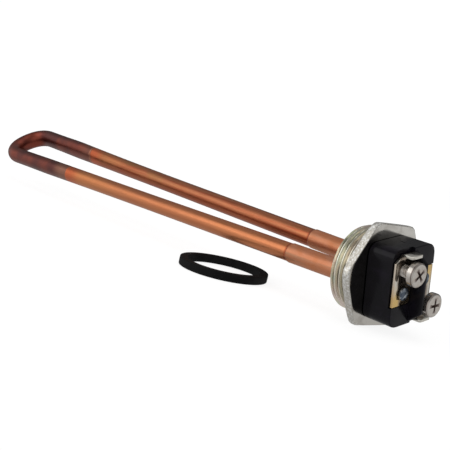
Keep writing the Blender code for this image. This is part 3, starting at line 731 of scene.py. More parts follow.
@dataclass(frozen=True)
class BrazeAlloy(Finish):
    """Silver braze as it froze, pale gold with flux stains."""

    slot: str = "braze_alloy"
    gold: Colour = (0.66, 0.56, 0.38)
    stain: Colour = (0.26, 0.17, 0.11)

    def paint(self, nodes: FinishNodes) -> None:
        """Ripples of frozen metal and brown flux.

        Args:
            nodes: The finish's nodes.
        """
        flux = nodes.mottled(380.0, 4.0, 0.7)
        colour = nodes.blend(nodes.spread(flux, 0.46, 0.70), self.gold, self.stain)
        dull = nodes.linear(flux, 0.35, 0.18)
        ripple = nodes.relief(nodes.mottled(900.0, 3.0), 0.06 * MM)
        nodes.set(Base_Color=colour, Metallic=0.85, Roughness=dull, Normal=ripple)


@dataclass(frozen=True)
class Grained(Finish):
    """A plain ground material with mottled colour, for what lies inside the sheath and under the block."""

    name: str = "Grained"
    light: Colour = (0.8, 0.8, 0.8)
    dark: Colour = (0.6, 0.6, 0.6)
    scale: float = 900.0
    roughness: float = 0.7
    metallic: float = 0.0
    depth: float = 0.04 * MM

    @property
    def label(self) -> str:
        """Name of this ground material."""
        return self.name

    def paint(self, nodes: FinishNodes) -> None:
        """Mottling and grain at one scale.

        Args:
            nodes: The finish's nodes.
        """
        mottle = nodes.mottled(self.scale * 0.25, 3.0, 0.5)
        grain = nodes.mottled(self.scale, 4.0)
        colour = nodes.blend(nodes.spread(mottle, 0.36, 0.66), self.light, self.dark)
        dull = nodes.linear(grain, 0.2, self.roughness - 0.1)
        nodes.set(Base_Color=colour, Roughness=dull, Normal=nodes.relief(grain, self.depth))
        nodes.set(Metallic=self.metallic)



INNER_FINISHES: dict[str, Finish] = {
    "magnesia_fill": Grained(
        "magnesia", "PackedMagnesia", light=(0.85, 0.83, 0.78), dark=(0.70, 0.67, 0.61), scale=1400.0,
        roughness=0.9,
    ),
    "heating_coil": Grained(
        "nichrome", "DrawnNichrome", light=(0.50, 0.48, 0.46), dark=(0.30, 0.28, 0.27), scale=1200.0,
        roughness=0.4, metallic=1.0,
    ),
    "end_seal": Grained(
        "seal_silicone", "RedSealant", light=(0.52, 0.19, 0.12), dark=(0.40, 0.13, 0.08), scale=700.0,
        roughness=0.55,
    ),
    "insulating_bush": Grained(
        "steatite", "FiredSteatite", light=(0.80, 0.78, 0.72), dark=(0.68, 0.65, 0.58), scale=1100.0,
        roughness=0.55,
    ),
}


# Mesh making


def clamped(value: float) -> float:
    """A number kept from 0 to 1."""
    return min(1.0, max(0.0, value))


def eased(share: float) -> float:
    """A share from 0 to 1 that starts and ends gently."""
    return share * share * (3 - 2 * share)


def placed(name: str, shape: Shape) -> Piece:
    """Puts a shape into the scene, as a piece or as a tool for a Boolean.

    Args:
        name: Name of the object.
        shape: Its shape, which is freed.

    Returns:
        The object.
    """
    bmesh.ops.recalc_face_normals(shape, faces=shape.faces)
    mesh = bpy.data.meshes.new(name)
    shape.to_mesh(mesh)
    shape.free()
    made = bpy.data.objects.new(name, mesh)
    bpy.context.scene.collection.objects.link(made)
    return made


def shade(mesh: bpy.types.Mesh, smooth: float) -> None:
    """Shades a mesh smooth, but keeps edges sharp that turn by more degrees than given."""
    mesh.shade_smooth()
    mesh.set_sharp_from_angle(angle=math.radians(smooth))


def finished_piece(
    name: str, shape: Shape, finish: Finish, body: Body, smooth: float = 40.0
) -> Piece:
    """Turns a bmesh into a named piece of the heater.

    Args:
        name: Name of the piece.
        shape: Its shape, which is freed.
        finish: Its finish.
        body: The body that it rides on.
        smooth: Edges that turn by more degrees than this stay sharp.

    Returns:
        The piece.
    """
    piece = placed(name, shape)
    piece.data.materials.append(finish.material())
    shade(piece.data, smooth)
    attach(piece, body.value)
    return piece


def carve(piece: Piece, tools: Iterable[Piece], kind: str = "DIFFERENCE") -> None:
    """Adds Booleans to a piece for each of the tools.

    Args:
        piece: The piece to change.
        tools: The tools, in order.
        kind: The Boolean's operation.
    """
    for tool in tools:
        step = piece.modifiers.new(tool.name, "BOOLEAN")
        step.operation = kind
        step.solver = "EXACT"
        step.object = tool


def settle(piece: Piece, smooth: float = 40.0) -> None:
    """Applies a piece's modifiers and removes their tools.

    Args:
        piece: The piece.
        smooth: Edges that turn by more degrees than this stay sharp.
    """
    bpy.context.view_layer.update()
    tools = [step.object for step in piece.modifiers if step.type == "BOOLEAN"]
    graph = bpy.context.evaluated_depsgraph_get()
    mesh = bpy.data.meshes.new_from_object(piece.evaluated_get(graph))
    piece.modifiers.clear()
    finishes = list(piece.data.materials)
    piece.data = mesh
    mesh.materials.clear()
    for finish in finishes:
        mesh.materials.append(finish)
    shade(mesh, smooth)
    for tool in tools:
        bpy.data.objects.remove(tool, do_unlink=True)


def rings_shape(
    rings: Sequence[Sequence[Vector]], ends: tuple[Vector | None, Vector | None], closed: bool = False
) -> Shape:
    """Joins rings of points with faces.

    Args:
        rings: Rings with the same number of points each.
        ends: A point that closes each end, or None for an end left open.
        closed: Whether the last ring joins the first.

    Returns:
        The shape.
    """
    shape = bmesh.new()
    loops = [[shape.verts.new(point) for point in ring] for ring in rings]
    count = len(loops[0])
    pairs = list(zip(loops, loops[1:]))
    if closed:
        pairs.append((loops[-1], loops[0]))
    for first, second in pairs:
        for i in range(count):
            j = (i + 1) % count
            shape.faces.new((first[i], first[j], second[j], second[i]))
    for pole, loop in zip(ends, (loops[0], loops[-1])):
        if pole is None:
            continue
        tip = shape.verts.new(pole)
        for i in range(count):
            shape.faces.new((loop[i], loop[(i + 1) % count], tip))
    return shape


def around(radius: float, x: float, centre: tuple[float, float], steps: int) -> list[Vector]:
    """Points of a circle about a line along X.

    Args:
        radius: Its radius.
        x: Its place along X.
        centre: The line's y and z.
        steps: How many points.

    Returns:
        The points.
    """
    angles = [2 * math.pi * i / steps for i in range(steps)]
    return [Vector((x, centre[0] + radius * math.cos(a), centre[1] + radius * math.sin(a))) for a in angles]


def lathe(
    profile: Profile, centre: tuple[float, float] = (0.0, 0.0), steps: int = 96, closed: bool = False
) -> Shape:
    """Turns a profile of (x, radius) points about a line along X.

    Args:
        profile: The profile. A radius of 0 at either end closes the shape there.
        centre: The line's y and z.
        steps: Points round the circle.
        closed: Whether the profile is a closed loop.

    Returns:
        The shape.
    """
    poles: list[Vector | None] = [None, None]
    points = list(profile)
    if not closed:
        for index in (0, -1):
            if points[index][1] == 0.0:
                poles[index] = Vector((points[index][0], *centre))
        points = [point for point in points if point[1] > 0.0]
    rings = [around(radius, x, centre, steps) for x, radius in points]
    return rings_shape(rings, (poles[0], poles[1]), closed)


def bore(start: float, stop: float, radius: float, centre: tuple[float, float], steps: int = 40) -> Shape:
    """A plain round tool along X.

    Args:
        start: Where it begins.
        stop: Where it ends.
        radius: Its radius.
        centre: Its line's y and z.
        steps: Points round the circle.

    Returns:
        The shape.
    """
    return lathe([(start, 0.0), (start, radius), (stop, radius), (stop, 0.0)], centre, steps)


def rounded(corners: Profile, radius: float, steps: int = 4, closed: bool = False) -> list[tuple[float, float]]:
    """Rounds the corners of a line of points.

    Args:
        corners: The points.
        radius: Radius of the rounding, cut back where the sides are short.
        steps: Segments of each rounding.
        closed: Whether the line is a closed loop.

    Returns:
        The rounded line.
    """
    made: list[tuple[float, float]] = []
    count = len(corners)
    for i, corner in enumerate(corners):
        if not closed and i in (0, count - 1):
            made.append(tuple(corner))
            continue
        here = Vector(corner)
        back = Vector(corners[i - 1]) - here
        ahead = Vector(corners[(i + 1) % count]) - here
        turn = back.angle(ahead)
        reach = min(radius / math.tan(turn / 2), back.length * 0.45, ahead.length * 0.45)
        start = here + back.normalized() * reach
        stop = here + ahead.normalized() * reach
        for k in range(steps + 1):
            t = k / steps
            point = start.lerp(here, t).lerp(here.lerp(stop, t), t)
            made.append((point.x, point.y))
    return made


def block_shape(low: Vector, high: Vector, along_x: float, front: float, steps: int = 6) -> Shape:
    """A box with rounded edges along X and round its front face.

    Args:
        low: Its low corner.
        high: Its high corner.
        along_x: Radius of the edges along X.
        front: Radius of the front face's edges.
        steps: Segments of each rounding.

    Returns:
        The shape.
    """
    corners = [(low.y, low.z), (high.y, low.z), (high.y, high.z), (low.y, high.z)]
    middle = Vector(((low.y + high.y) / 2, (low.z + high.z) / 2))

    def outline(inset: float) -> list[tuple[float, float]]:
        """The section's rounded outline, moved inwards.

        Args:
            inset: How far.

        Returns:
            The outline.
        """
        moved = []
        for y, z in corners:
            moved.append((y + math.copysign(inset, middle.x - y), z + math.copysign(inset, middle.y - z)))
        return rounded(moved, max(along_x - inset, 0.02 * MM), steps, closed=True)

    levels = [(low.x, 0.0), (high.x - front, 0.0)]
    for k in range(1, steps + 1):
        angle = math.radians(90 * k / steps)
        levels.append((high.x - front + front * math.sin(angle), front * (1 - math.cos(angle))))
    rings = [[Vector((x, y, z)) for y, z in outline(inset)] for x, inset in levels]
    return rings_shape(rings, (Vector((low.x, *middle)), Vector((high.x, *middle))))


def turn_about_x(shape: Shape, angle: float) -> Shape:
    """Turns a shape about the X axis and gives it back."""
    bmesh.ops.rotate(shape, verts=shape.verts, cent=(0, 0, 0), matrix=Matrix.Rotation(angle, 3, "X"))
    return shape


# Sub-assemblies


@dataclass
class Plug:
    """The hexagon and its threaded boss, one turned and milled piece."""

    across_flats: float = 38.1 * MM
    thick: float = 3.4 * MM
    corner_radius: float = 21.5 * MM
    relief_radius: float = 16.8 * MM
    relief_depth: float = 0.1 * MM
    corner_chamfer: float = 0.8 * MM
    edge: float = 0.22 * MM
    thread_radius: float = 16.5 * MM
    thread_depth: float = 1.35 * MM
    thread_pitch: float = 2.209 * MM
    thread_length: float = 9.5 * MM
    thread_relief: float = 1.3 * MM
    thread_lead: float = 1.0 * MM
    thread_fade: float = 0.8 * MM
    end_edge: float = 0.15 * MM
    crease: float = 32.0
    thread_rows: int = 112
    columns: int = 288
    phase: float = 0.15
    finish: Finish = field(default_factory=PlatedSteel)

    @property
    def root_radius(self) -> float:
        """Radius at the bottom of the thread."""
        return self.thread_radius - self.thread_depth

    def hexagon_radius(self, angle: float) -> float:
        """How far the hexagon reaches, with its corners turned off.

        Args:
            angle: Angle about the axis.

        Returns:
            The radius.
        """
        step = math.radians(60)
        off = (angle - math.pi / 2) % step
        off = min(off, step - off)
        return min(self.across_flats / 2 / math.cos(off), self.corner_radius)

    def chamfer_level(self, radius: float, turned: float) -> float:
        """How far the turned corners are cut back at a radius.

        Args:
            radius: The radius.
            turned: Height of the cut at the corner's radius.

        Returns:
            The cut's height there.
        """
        flat = self.across_flats / 2
        share = (radius - flat) / (self.corner_radius - flat)
        return max(0.0, turned * (share * 1.4 - 0.4))

    def thread_height(self, x: float, angle: float) -> float:
        """Radius of the threaded boss at a place.

        Args:
            x: Place along the axis.
            angle: Angle about it.

        Returns:
            The radius.
        """
        turn = (x / self.thread_pitch - angle / (2 * math.pi) + self.phase) % 1.0
        rise = 1.0 - clamped((abs(turn - 0.5) * 2 - 0.14) / 0.80)
        rise = 0.8 * rise + 0.2 * eased(rise)
        limit = clamped((x + self.thread_length + self.end_edge) / self.thread_lead)
        begin = clamped((-x - self.thread_relief) / self.thread_fade)
        return self.root_radius + self.thread_depth * min(rise, limit, begin)

    def ring(self, kind: Callable[[float], tuple[float, float]]) -> list[Vector]:
        """One ring of the plug.

        Args:
            kind: Gives (x, radius) at an angle.

        Returns:
            The ring's points.
        """
        points = []
        for i in range(self.columns):
            angle = 2 * math.pi * i / self.columns
            x, radius = kind(angle)
            points.append(Vector((x, radius * math.cos(angle), radius * math.sin(angle))))
        return points

    def front_edge(self, angle: float, turn: float) -> tuple[float, float]:
        """A point of the rounded edge between the face and the flats.

        Args:
            angle: Angle about the axis.
            turn: Turn from the face, 0, to the flats, a right angle.

        Returns:
            Its x and radius.
        """
        reach = self.hexagon_radius(angle)
        cut = self.chamfer_level(reach, 0.3 * MM)
        lower = cut * (0.4 + 0.6 * math.sin(turn)) + self.edge * (1 - math.cos(turn))
        return self.thick - lower, reach - (self.edge + cut * 1.6) * (1 - math.sin(turn))

    def back_edge(self, angle: float, turn: float) -> tuple[float, float]:
        """A point of the rounded edge between the flats and the seat.

        Args:
            angle: Angle about the axis.
            turn: Turn from the flats, 0, to the seat, a right angle.

        Returns:
            Its x and radius.
        """
        reach = self.hexagon_radius(angle)
        cut = self.chamfer_level(reach, self.corner_chamfer)
        rise = cut * (1 - 0.6 * math.sin(turn)) + self.edge * (1 - math.sin(turn))
        return rise, reach - (self.edge + cut * 1.4) * (1 - math.cos(turn))

    def hexagon_rings(self) -> list[list[Vector]]:
        """Rings over the hexagon, from the middle of its face to the relief round the thread.

        Returns:
            The rings.
        """
        rings = [self.ring(lambda a, r=r: (self.thick, r * MM)) for r in (3.0, 11.0, 15.0, 18.4)]
        for edge in (self.front_edge, self.back_edge):
            for share in (0.0, 0.3, 0.7, 1.0):
                rings.append(self.ring(lambda a, edge=edge, t=share * math.pi / 2: edge(a, t)))
        step = 0.05 * MM
        seat = ((0.0, 18.2 * MM), (0.0, self.relief_radius), (self.relief_depth, self.relief_radius - step))
        rings += [self.ring(lambda a, place=place: place) for place in seat]
        return rings

    def thread_rings(self) -> list[list[Vector]]:
        """Rings from the relief along the thread to its end face.

        Returns:
            The rings.
        """
        fillet = 0.35 * MM
        rings = [self.ring(lambda a: (self.relief_depth, self.root_radius + fillet))]
        rings += [self.ring(lambda a: (-0.3 * fillet, self.root_radius + 0.3 * fillet))]
        start, stop = -fillet, -(self.thread_length - self.end_edge)
        for i in range(self.thread_rows + 1):
            x = start + (stop - start) * i / self.thread_rows
            rings.append(self.ring(lambda a, x=x: (x, self.thread_height(x, a))))
        rings.append(self.ring(lambda a: (-self.thread_length, self.root_radius - 0.2 * MM)))
        rings += [self.ring(lambda a, r=r: (-self.thread_length, r * MM)) for r in (12.0, 3.0)]
        return rings

    def build(self, leg: "Element") -> list[Piece]:
        """Builds the plug and bores it for the legs.

        Args:
            leg: The element whose legs pass through.

        Returns:
            The pieces.
        """
        rings = self.hexagon_rings() + self.thread_rings()
        shape = rings_shape(rings, (Vector((self.thick, 0, 0)), Vector((-self.thread_length, 0, 0))))
        plug = finished_piece("plug", shape, self.finish, Body.HEATER, self.crease)
        holes = []
        for side in Side:
            hole = bore(-self.thread_length - MM, self.thick + MM, leg.hole_radius, leg.axis(side), 64)
            holes.append(placed(f"leg_hole_{side.word}", hole))
        carve(plug, holes)
        settle(plug, self.crease)
        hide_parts("plug_body")
        return [plug]


@dataclass
class Element:
    """The copper sheath bent to a U, and what closes and fills it."""

    insertion: float = 259.95 * MM
    radius: float = 3.7 * MM
    wall: float = 0.6 * MM
    leg_spacing: float = 11.8 * MM
    bend_radius: float = 11.15 * MM
    plane_angle: float = math.radians(29.9)
    kink_x: float = -12.5 * MM
    end_x: float = 5.0 * MM
    growth: float = 0.27 * MM
    full_end_x: float = -38.0 * MM
    taper: float = 0.8 * MM
    gap: float = 0.3 * MM
    swell_start: float = -110.0 * MM
    swell_full: float = -212.0 * MM
    swell_far: tuple[float, float] = (0.40, 0.22)
    swell_near: tuple[float, float] = (0.09, 0.21)
    swell_ease_x: float = -215.0 * MM
    swell_ease_run: float = 20.0 * MM
    swell_ease: float = 0.2
    far_corner: float = 2.35
    kink_reach: float = 1.5 * MM
    end_chamfer: float = 0.12 * MM
    braze_reach: float = 1.25 * MM
    braze_under: float = 0.6 * MM
    braze_wave: float = 0.035
    seat_x: float = -9.5 * MM
    bend_steps: int = 72
    leg_steps: int = 70
    sides: int = 56
    copper: Finish = field(default_factory=DrawnCopper)
    braze: Finish = field(default_factory=BrazeAlloy)

    @property
    def hole_radius(self) -> float:
        """Radius of the plug's holes for the legs."""
        return self.radius + self.growth + self.gap

    @property
    def bend_centre_x(self) -> float:
        """Centre of the bend."""
        return -(self.insertion - self.bend_radius - self.radius)

    @property
    def splay(self) -> float:
        """Angle of each leg from the axis.

        Returns:
            The angle in radians.
        """
        run = self.kink_x - self.bend_centre_x
        half = self.leg_spacing / 2
        return math.asin(self.bend_radius / math.hypot(run, half)) - math.atan2(half, run)

    def point(self, x: float, offset: float) -> Vector:
        """A point of the legs' plane, offset from the axis."""
        return Vector((x, offset * math.cos(self.plane_angle), offset * math.sin(self.plane_angle)))

    def axis(self, side: Side) -> tuple[float, float]:
        """The y and z of a leg where it passes through the plug."""
        place = self.point(0.0, side.value * self.leg_spacing / 2)
        return place.y, place.z

    def radius_at(self, x: float) -> float:
        """Outer radius of a leg at a place along it, with its step."""
        share = 1.0 - clamped((self.full_end_x - x) / self.taper)
        return self.radius + self.growth * eased(share)

    def swell(self, place: Vector, over: bool) -> float:
        """How much thicker bending left the tube, square to the legs' plane.

        Args:
            place: A place on the tube's middle line.
            over: Whether for the side above the plane rather than below it.

        Returns:
            The growth, as a share of the radius.
        """
        share = clamped((self.swell_start - place.x) / (self.swell_start - self.swell_full)) ** 2
        past = clamped((self.swell_ease_x - place.x) / self.swell_ease_run)
        share *= 1.0 - self.swell_ease * eased(past)
        offset = place.y * math.cos(self.plane_angle) + place.z * math.sin(self.plane_angle)
        far = clamped(0.5 + 0.5 * offset / self.bend_radius)
        side = 0 if over else 1
        return share * (self.swell_near[side] * (1 - far) + self.swell_far[side] * far)

    def leg_line(self) -> list[tuple[Vector, float]]:
        """The right leg's middle line from its end to the bend, close set at its kink and its step.

        Returns:
            Places and outer radii.
        """
        half = self.leg_spacing / 2
        bend_x = self.bend_centre_x + self.bend_radius * math.sin(self.splay)
        xs = [self.end_x, -3.0 * MM, self.seat_x]
        xs += [self.kink_x + t * MM for t in (1.5, 0.5, -0.5, -1.5)]
        near_step = [self.full_end_x + t * MM for t in (1.0, 0.2, 0.0, -0.2, -0.4, -0.6, -0.8, -1.0, -2.0)]
        span = bend_x - self.kink_x
        spaced = [self.kink_x + span * i / self.leg_steps for i in range(1, self.leg_steps + 1)]
        xs += [x for x in spaced if x < self.kink_x - 2.0 * MM] + near_step
        line = []
        for x in sorted(set(xs), reverse=True):
            out = max(0.0, self.kink_x - x)
            if abs(self.kink_x - x) < self.kink_reach:
                out = (self.kink_x - x + self.kink_reach) ** 2 / (4 * self.kink_reach)
            line.append((self.point(x, half + out * math.tan(self.splay)), self.radius_at(x)))
        return line

    def bend_line(self) -> list[tuple[Vector, float]]:
        """The bend's middle line from the right leg to the left, its far side squarer.

        Returns:
            Places and outer radii.
        """
        sweep = math.pi + 2 * self.splay
        line = []
        for i in range(1, self.bend_steps):
            angle = math.pi / 2 - self.splay + sweep * i / self.bend_steps
            ahead, aside = math.cos(angle), math.sin(angle)
            if ahead < 0 < aside:
                ahead, aside = -((-ahead) ** (2 / self.far_corner)), aside ** (2 / self.far_corner)
            place = self.point(self.bend_centre_x + self.bend_radius * ahead, self.bend_radius * aside)
            line.append((place, self.radius))
        return line

    def route(self) -> list[Station]:
        """Places, directions and radii from the right leg's end to the left one's.

        Returns:
            The stations in order.
        """
        leg = self.leg_line()
        flip = Matrix.Rotation(math.pi, 3, "X")
        line = leg + self.bend_line() + [(flip @ place, radius) for place, radius in reversed(leg)]
        stations = []
        for i, (place, radius) in enumerate(line):
            ahead = line[min(i + 1, len(line) - 1)][0] - line[max(i - 1, 0)][0]
            stations.append((place, ahead.normalized(), radius))
        return stations

    def tube(self, stations: Sequence[Station], wall: float) -> Shape:
        """A tube along stations, open at both ends and hollow.

        Args:
            stations: Places, directions and outer radii.
            wall: How thick the tube is.

        Returns:
            The shape.
        """
        across = Vector((0.0, -math.sin(self.plane_angle), math.cos(self.plane_angle)))

        def rings(less: float) -> list[list[Vector]]:
            """The tube's rings.

            Args:
                less: How far inside the outer surface.

            Returns:
                The rings.
            """
            made = []
            for place, ahead, radius in stations:
                side = across.cross(ahead).normalized()
                up = ahead.cross(side).normalized()
                ring = []
                for i in range(self.sides):
                    angle = 2 * math.pi * i / self.sides
                    rise = math.sin(angle) * (1.0 + self.swell(place, math.sin(angle) > 0))
                    ring.append(place + (side * math.cos(angle) + up * rise) * (radius - less))
                made.append(ring)
            return made

        lip = rings(self.end_chamfer)
        outer = [lip[0], *rings(0.0), lip[-1]]
        outer[1] = [point + stations[0][1] * self.end_chamfer for point in outer[1]]
        outer[-2] = [point - stations[-1][1] * self.end_chamfer for point in outer[-2]]
        return rings_shape(outer + list(reversed(rings(wall))), (None, None), closed=True)

    def fillet(self, side: Side) -> Piece:
        """The braze that rises from the plug's end face onto one leg.

        Args:
            side: The leg.

        Returns:
            The piece.
        """
        leg = self.radius + self.growth + 0.02 * MM
        foot, rise, under = leg + self.braze_reach, self.braze_reach, self.braze_under
        face = self.seat_x
        edge = 0.05 * MM
        curve = [(face + under, leg), (face + under, leg + 0.26 * MM), (face, leg + 0.26 * MM), (face, foot)]
        curve.append((face - edge, foot))
        for i in range(1, 9):
            angle = math.pi / 2 * i / 8
            back, inward = rise * (1 - math.cos(angle)), (foot - leg - edge) * math.sin(angle)
            curve.append((face - back - edge, foot - inward))
        curve.append((face - rise - 0.1 * MM, leg))
        centre = self.axis(side)
        shape = lathe(curve, centre, 64, closed=True)
        for vert in shape.verts:
            if vert.co.x < face - 0.001 * MM:
                out = Vector((vert.co.y - centre[0], vert.co.z - centre[1]))
                wave = noise.noise(vert.co * 420.0 + Vector((side.value * 3.0, 0, 0)))
                share = clamped((out.length - leg - 0.03 * MM) / (0.5 * MM))
                out *= 1.0 + self.braze_wave * wave * share
                vert.co.y, vert.co.z = centre[0] + out.x, centre[1] + out.y
        piece = finished_piece(f"braze_{side.word}", shape, self.braze, Body.HEATER, 50.0)
        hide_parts(f"braze_fillet_{side.word}")
        return piece

    def build(self) -> list[Piece]:
        """Builds the sheath and the fillets, and dresses what is inside.

        Returns:
            The pieces.
        """
        sheath = finished_piece("sheath", self.tube(self.route(), self.wall), self.copper, Body.HEATER, 50.0)
        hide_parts("heating_sheath")
        pieces = [sheath] + [self.fillet(side) for side in Side]
        for node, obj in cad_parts.items():
            finish = next((made for start, made in INNER_FINISHES.items() if node.startswith(start)), None)
            if finish:
                obj.data.materials.clear()
                obj.data.materials.append(finish.material())
                pieces.append(obj)
        return pieces


@dataclass
class Terminals:
    """The moulded block with its plates, pins and screws."""

    turn: float = math.radians(13.0)
    width: float = 22.6 * MM
    height: float = 29.0 * MM
    back_x: float = 3.7 * MM
    face_x: float = 15.8 * MM
    corner: float = 4.8 * MM
    edge: float = 0.45 * MM
    barrier_half: float = 0.8 * MM
    barrier_reach: float = 9.4 * MM
    barrier_foot: float = 13.7 * MM
    barrier_rise: float = 5.3 * MM
    barrier_edge: float = 0.42 * MM
    barrier_round: float = 1.4 * MM
    mark_low: Place = (7.8 * MM, 0.35 * MM, 14.2 * MM)
    mark_high: Place = (10.1 * MM, 0.85 * MM, 15.5 * MM)
    well_floor: float = 5.6 * MM
    well_play: float = 0.6 * MM
    pocket_depth: float = 4.1 * MM
    crease: float = 32.0
    plate_thick: float = 1.0 * MM
    plate_tail: float = 6.2 * MM
    plate_inner: float = 1.1 * MM
    lip_height: float = 4.2 * MM
    lip_drop: float = 1.4 * MM
    lip_corner: float = 1.1 * MM
    fold: float = 0.1 * MM
    corner_width: float = 2.0 * MM
    corner_height: float = 1.6 * MM
    shoulder_width: float = 1.4 * MM
    shoulder_height: float = 0.4 * MM
    plate_side_inset: float = 0.6 * MM
    tail_corner: float = 1.0 * MM
    plate_rim: float = 0.14 * MM
    gap: float = 0.3 * MM
    screw_row: float = 6.8 * MM
    shank_radius: float = 2.4 * MM
    shank_length: float = 9.5 * MM
    shank_pitch: float = 0.794 * MM
    shank_cut: float = 0.36 * MM
    shank_rows: int = 150
    shank_columns: int = 72
    head_radius: float = 4.5 * MM
    head_height: float = 2.8 * MM
    head_gap: float = 3.8 * MM
    head_round: float = 0.55 * MM
    head_edge: float = 0.32 * MM
    cross_levels: tuple[Place, ...] = (
        (0.4 * MM, 2.05 * MM, 0.56 * MM), (-0.9 * MM, 1.60 * MM, 0.44 * MM), (-1.6 * MM, 0.75 * MM, 0.30 * MM),
    )
    pin_radius: float = 1.5 * MM
    pin_head_radius: float = 2.45 * MM
    pin_head_height: float = 1.2 * MM
    pin_stem: float = 6.0 * MM
    pin_dents: float = 0.12 * MM
    cross: dict[Side, float] = field(
        default_factory=lambda: {Side.RIGHT: math.radians(10), Side.LEFT: math.radians(45)}
    )
    phenolic: Finish = field(default_factory=BlackPhenolic)
    brass: Finish = field(default_factory=PlatedBrass)
    nickel: Finish = field(default_factory=NickelPlate)
    steel: Finish = field(default_factory=PinSteel)

    def turned_by(self, side: Side) -> float:
        """Turn about the axis of one terminal."""
        return self.turn + (math.pi if side is Side.RIGHT else 0.0)

    def pin_place(self, leg: Element) -> tuple[float, float]:
        """The pin's y and z in the turned frame of the left terminal."""
        place = Matrix.Rotation(-self.turn, 2) @ Vector(leg.axis(Side.LEFT))
        return place.x, place.y

    def barrier(self) -> Shape:
        """The wall between the terminals, with slanted ends and rounded edges.

        Returns:
            The shape, before it is turned.
        """
        root, slant, top = self.face_x - 2.0 * MM, self.face_x - 0.2 * MM, self.face_x + self.barrier_rise
        foot, reach = self.barrier_foot, self.barrier_reach
        corners = [(slant, -foot), (top, -reach), (top, reach), (slant, foot)]
        line = [(root, -foot), *rounded(corners, self.barrier_round, 6), (root, foot)]
        shape = bmesh.new()
        near, far = ([shape.verts.new((x, side * self.barrier_half, z)) for x, z in line] for side in (-1, 1))
        shape.faces.new(near)
        shape.faces.new(far)
        for i in range(len(line)):
            shape.faces.new((near[i - 1], near[i], far[i], far[i - 1]))
        bmesh.ops.recalc_face_normals(shape, faces=shape.faces)
        rim = []
        for edge in shape.edges:
            a, b = (vert.co for vert in edge.verts)
            if a.y * b.y > 0 and max(a.x, b.x) > slant + 0.01 * MM:
                rim.append(edge)
        bmesh.ops.bevel(shape, geom=rim, offset=self.barrier_edge, segments=4, affect="EDGES", profile=0.5)
        return shape

    def cuts(self, side: Side, leg: Element) -> list[Piece]:
        """The tools for one terminal's recess, screw well, pin bore and leg pocket.

        Args:
            side: The terminal.
            leg: The element, for the pin's place.

        Returns:
            The tools.
        """
        over, well_radius = 1.0 * MM, self.shank_radius + self.well_play
        line, pin_row = self.pin_place(leg)
        recess = bmesh.new()
        bmesh.ops.create_cube(recess, size=1.0)
        floor = self.face_x - self.plate_thick - self.gap
        low = Vector((floor, -self.width / 2 - over, -self.plate_tail - self.gap))
        high = Vector((self.face_x + over, -self.barrier_half, self.height / 2 + over))
        bmesh.ops.scale(recess, vec=high - low, verts=recess.verts)
        bmesh.ops.translate(recess, vec=(high + low) / 2, verts=recess.verts)
        turned = {
            "recess": recess,
            "well": bore(self.well_floor, self.face_x, well_radius, (line, self.screw_row)),
            "bore": bore(0.0, self.face_x, self.pin_radius + self.gap, (line, pin_row)),
        }
        tools = []
        for label, shape in turned.items():
            tools.append(placed(f"{label}_{side.word}", turn_about_x(shape, self.turned_by(side))))
        pocket = bore(0.0, self.back_x + self.pocket_depth, leg.hole_radius, leg.axis(side))
        return [*tools, placed(f"pocket_{side.word}", pocket)]

    def block(self, leg: Element) -> Piece:
        """The moulded block with its recesses, wells, bores and barrier.

        Args:
            leg: The element, for the pins' places.

        Returns:
            The piece.
        """
        wide, tall = self.width / 2, self.height / 2
        low, high = Vector((self.back_x, -wide, -tall)), Vector((self.face_x, wide, tall))
        shape = turn_about_x(block_shape(low, high, self.corner, self.edge), self.turn)
        block = finished_piece("terminal_housing", shape, self.phenolic, Body.HEATER, self.crease)
        for side in Side:
            carve(block, self.cuts(side, leg))
        mark = block_shape(Vector(self.mark_low), Vector(self.mark_high), 0.05 * MM, 0.05 * MM, 2)
        carve(block, [placed("mould_mark", turn_about_x(mark, self.turn))])
        carve(block, [placed("barrier", turn_about_x(self.barrier(), self.turn))], "UNION")
        settle(block, self.crease)
        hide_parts("terminal_block")
        return block

    def plate_rows(self) -> list[tuple[float, float, float, float]]:
        """(x, z, outer edge, inner edge) along the middle of the folded strip.

        Returns:
            The rows from the tail to the lip's end.
        """
        outer, inner = self.plate_side_inset - self.width / 2, -self.plate_inner
        shoulder = outer + self.corner_width
        lip_outer = shoulder + self.shoulder_width
        lip_z = self.height / 2 - self.lip_drop
        back_x = self.face_x - self.plate_thick
        radius = self.fold + self.plate_thick
        fold_z = lip_z - radius
        lip_end = self.face_x + self.lip_height
        rows = []
        for i in range(7):
            angle = math.pi / 2 * i / 6
            rise, inset = self.tail_corner * (1 - math.cos(angle)), self.tail_corner * (1 - math.sin(angle))
            rows.append((back_x, -self.plate_tail + rise, outer, inner - inset))
        rows.append((back_x, fold_z - self.shoulder_height - self.corner_height, outer, inner))
        rows.append((back_x, fold_z - self.shoulder_height, shoulder, inner))
        for i in range(9):
            angle = math.pi / 2 * i / 8
            ahead, rise = radius * (1 - math.cos(angle)), radius * math.sin(angle)
            rows.append((back_x + ahead, fold_z + rise, lip_outer, inner))
        for i in range(9):
            angle = math.pi / 2 * i / 8
            inset, short = self.lip_corner * (1 - math.cos(angle)), self.lip_corner * (1 - math.sin(angle))
            rows.append((lip_end - short, lip_z, lip_outer + inset, inner - inset))
        return rows

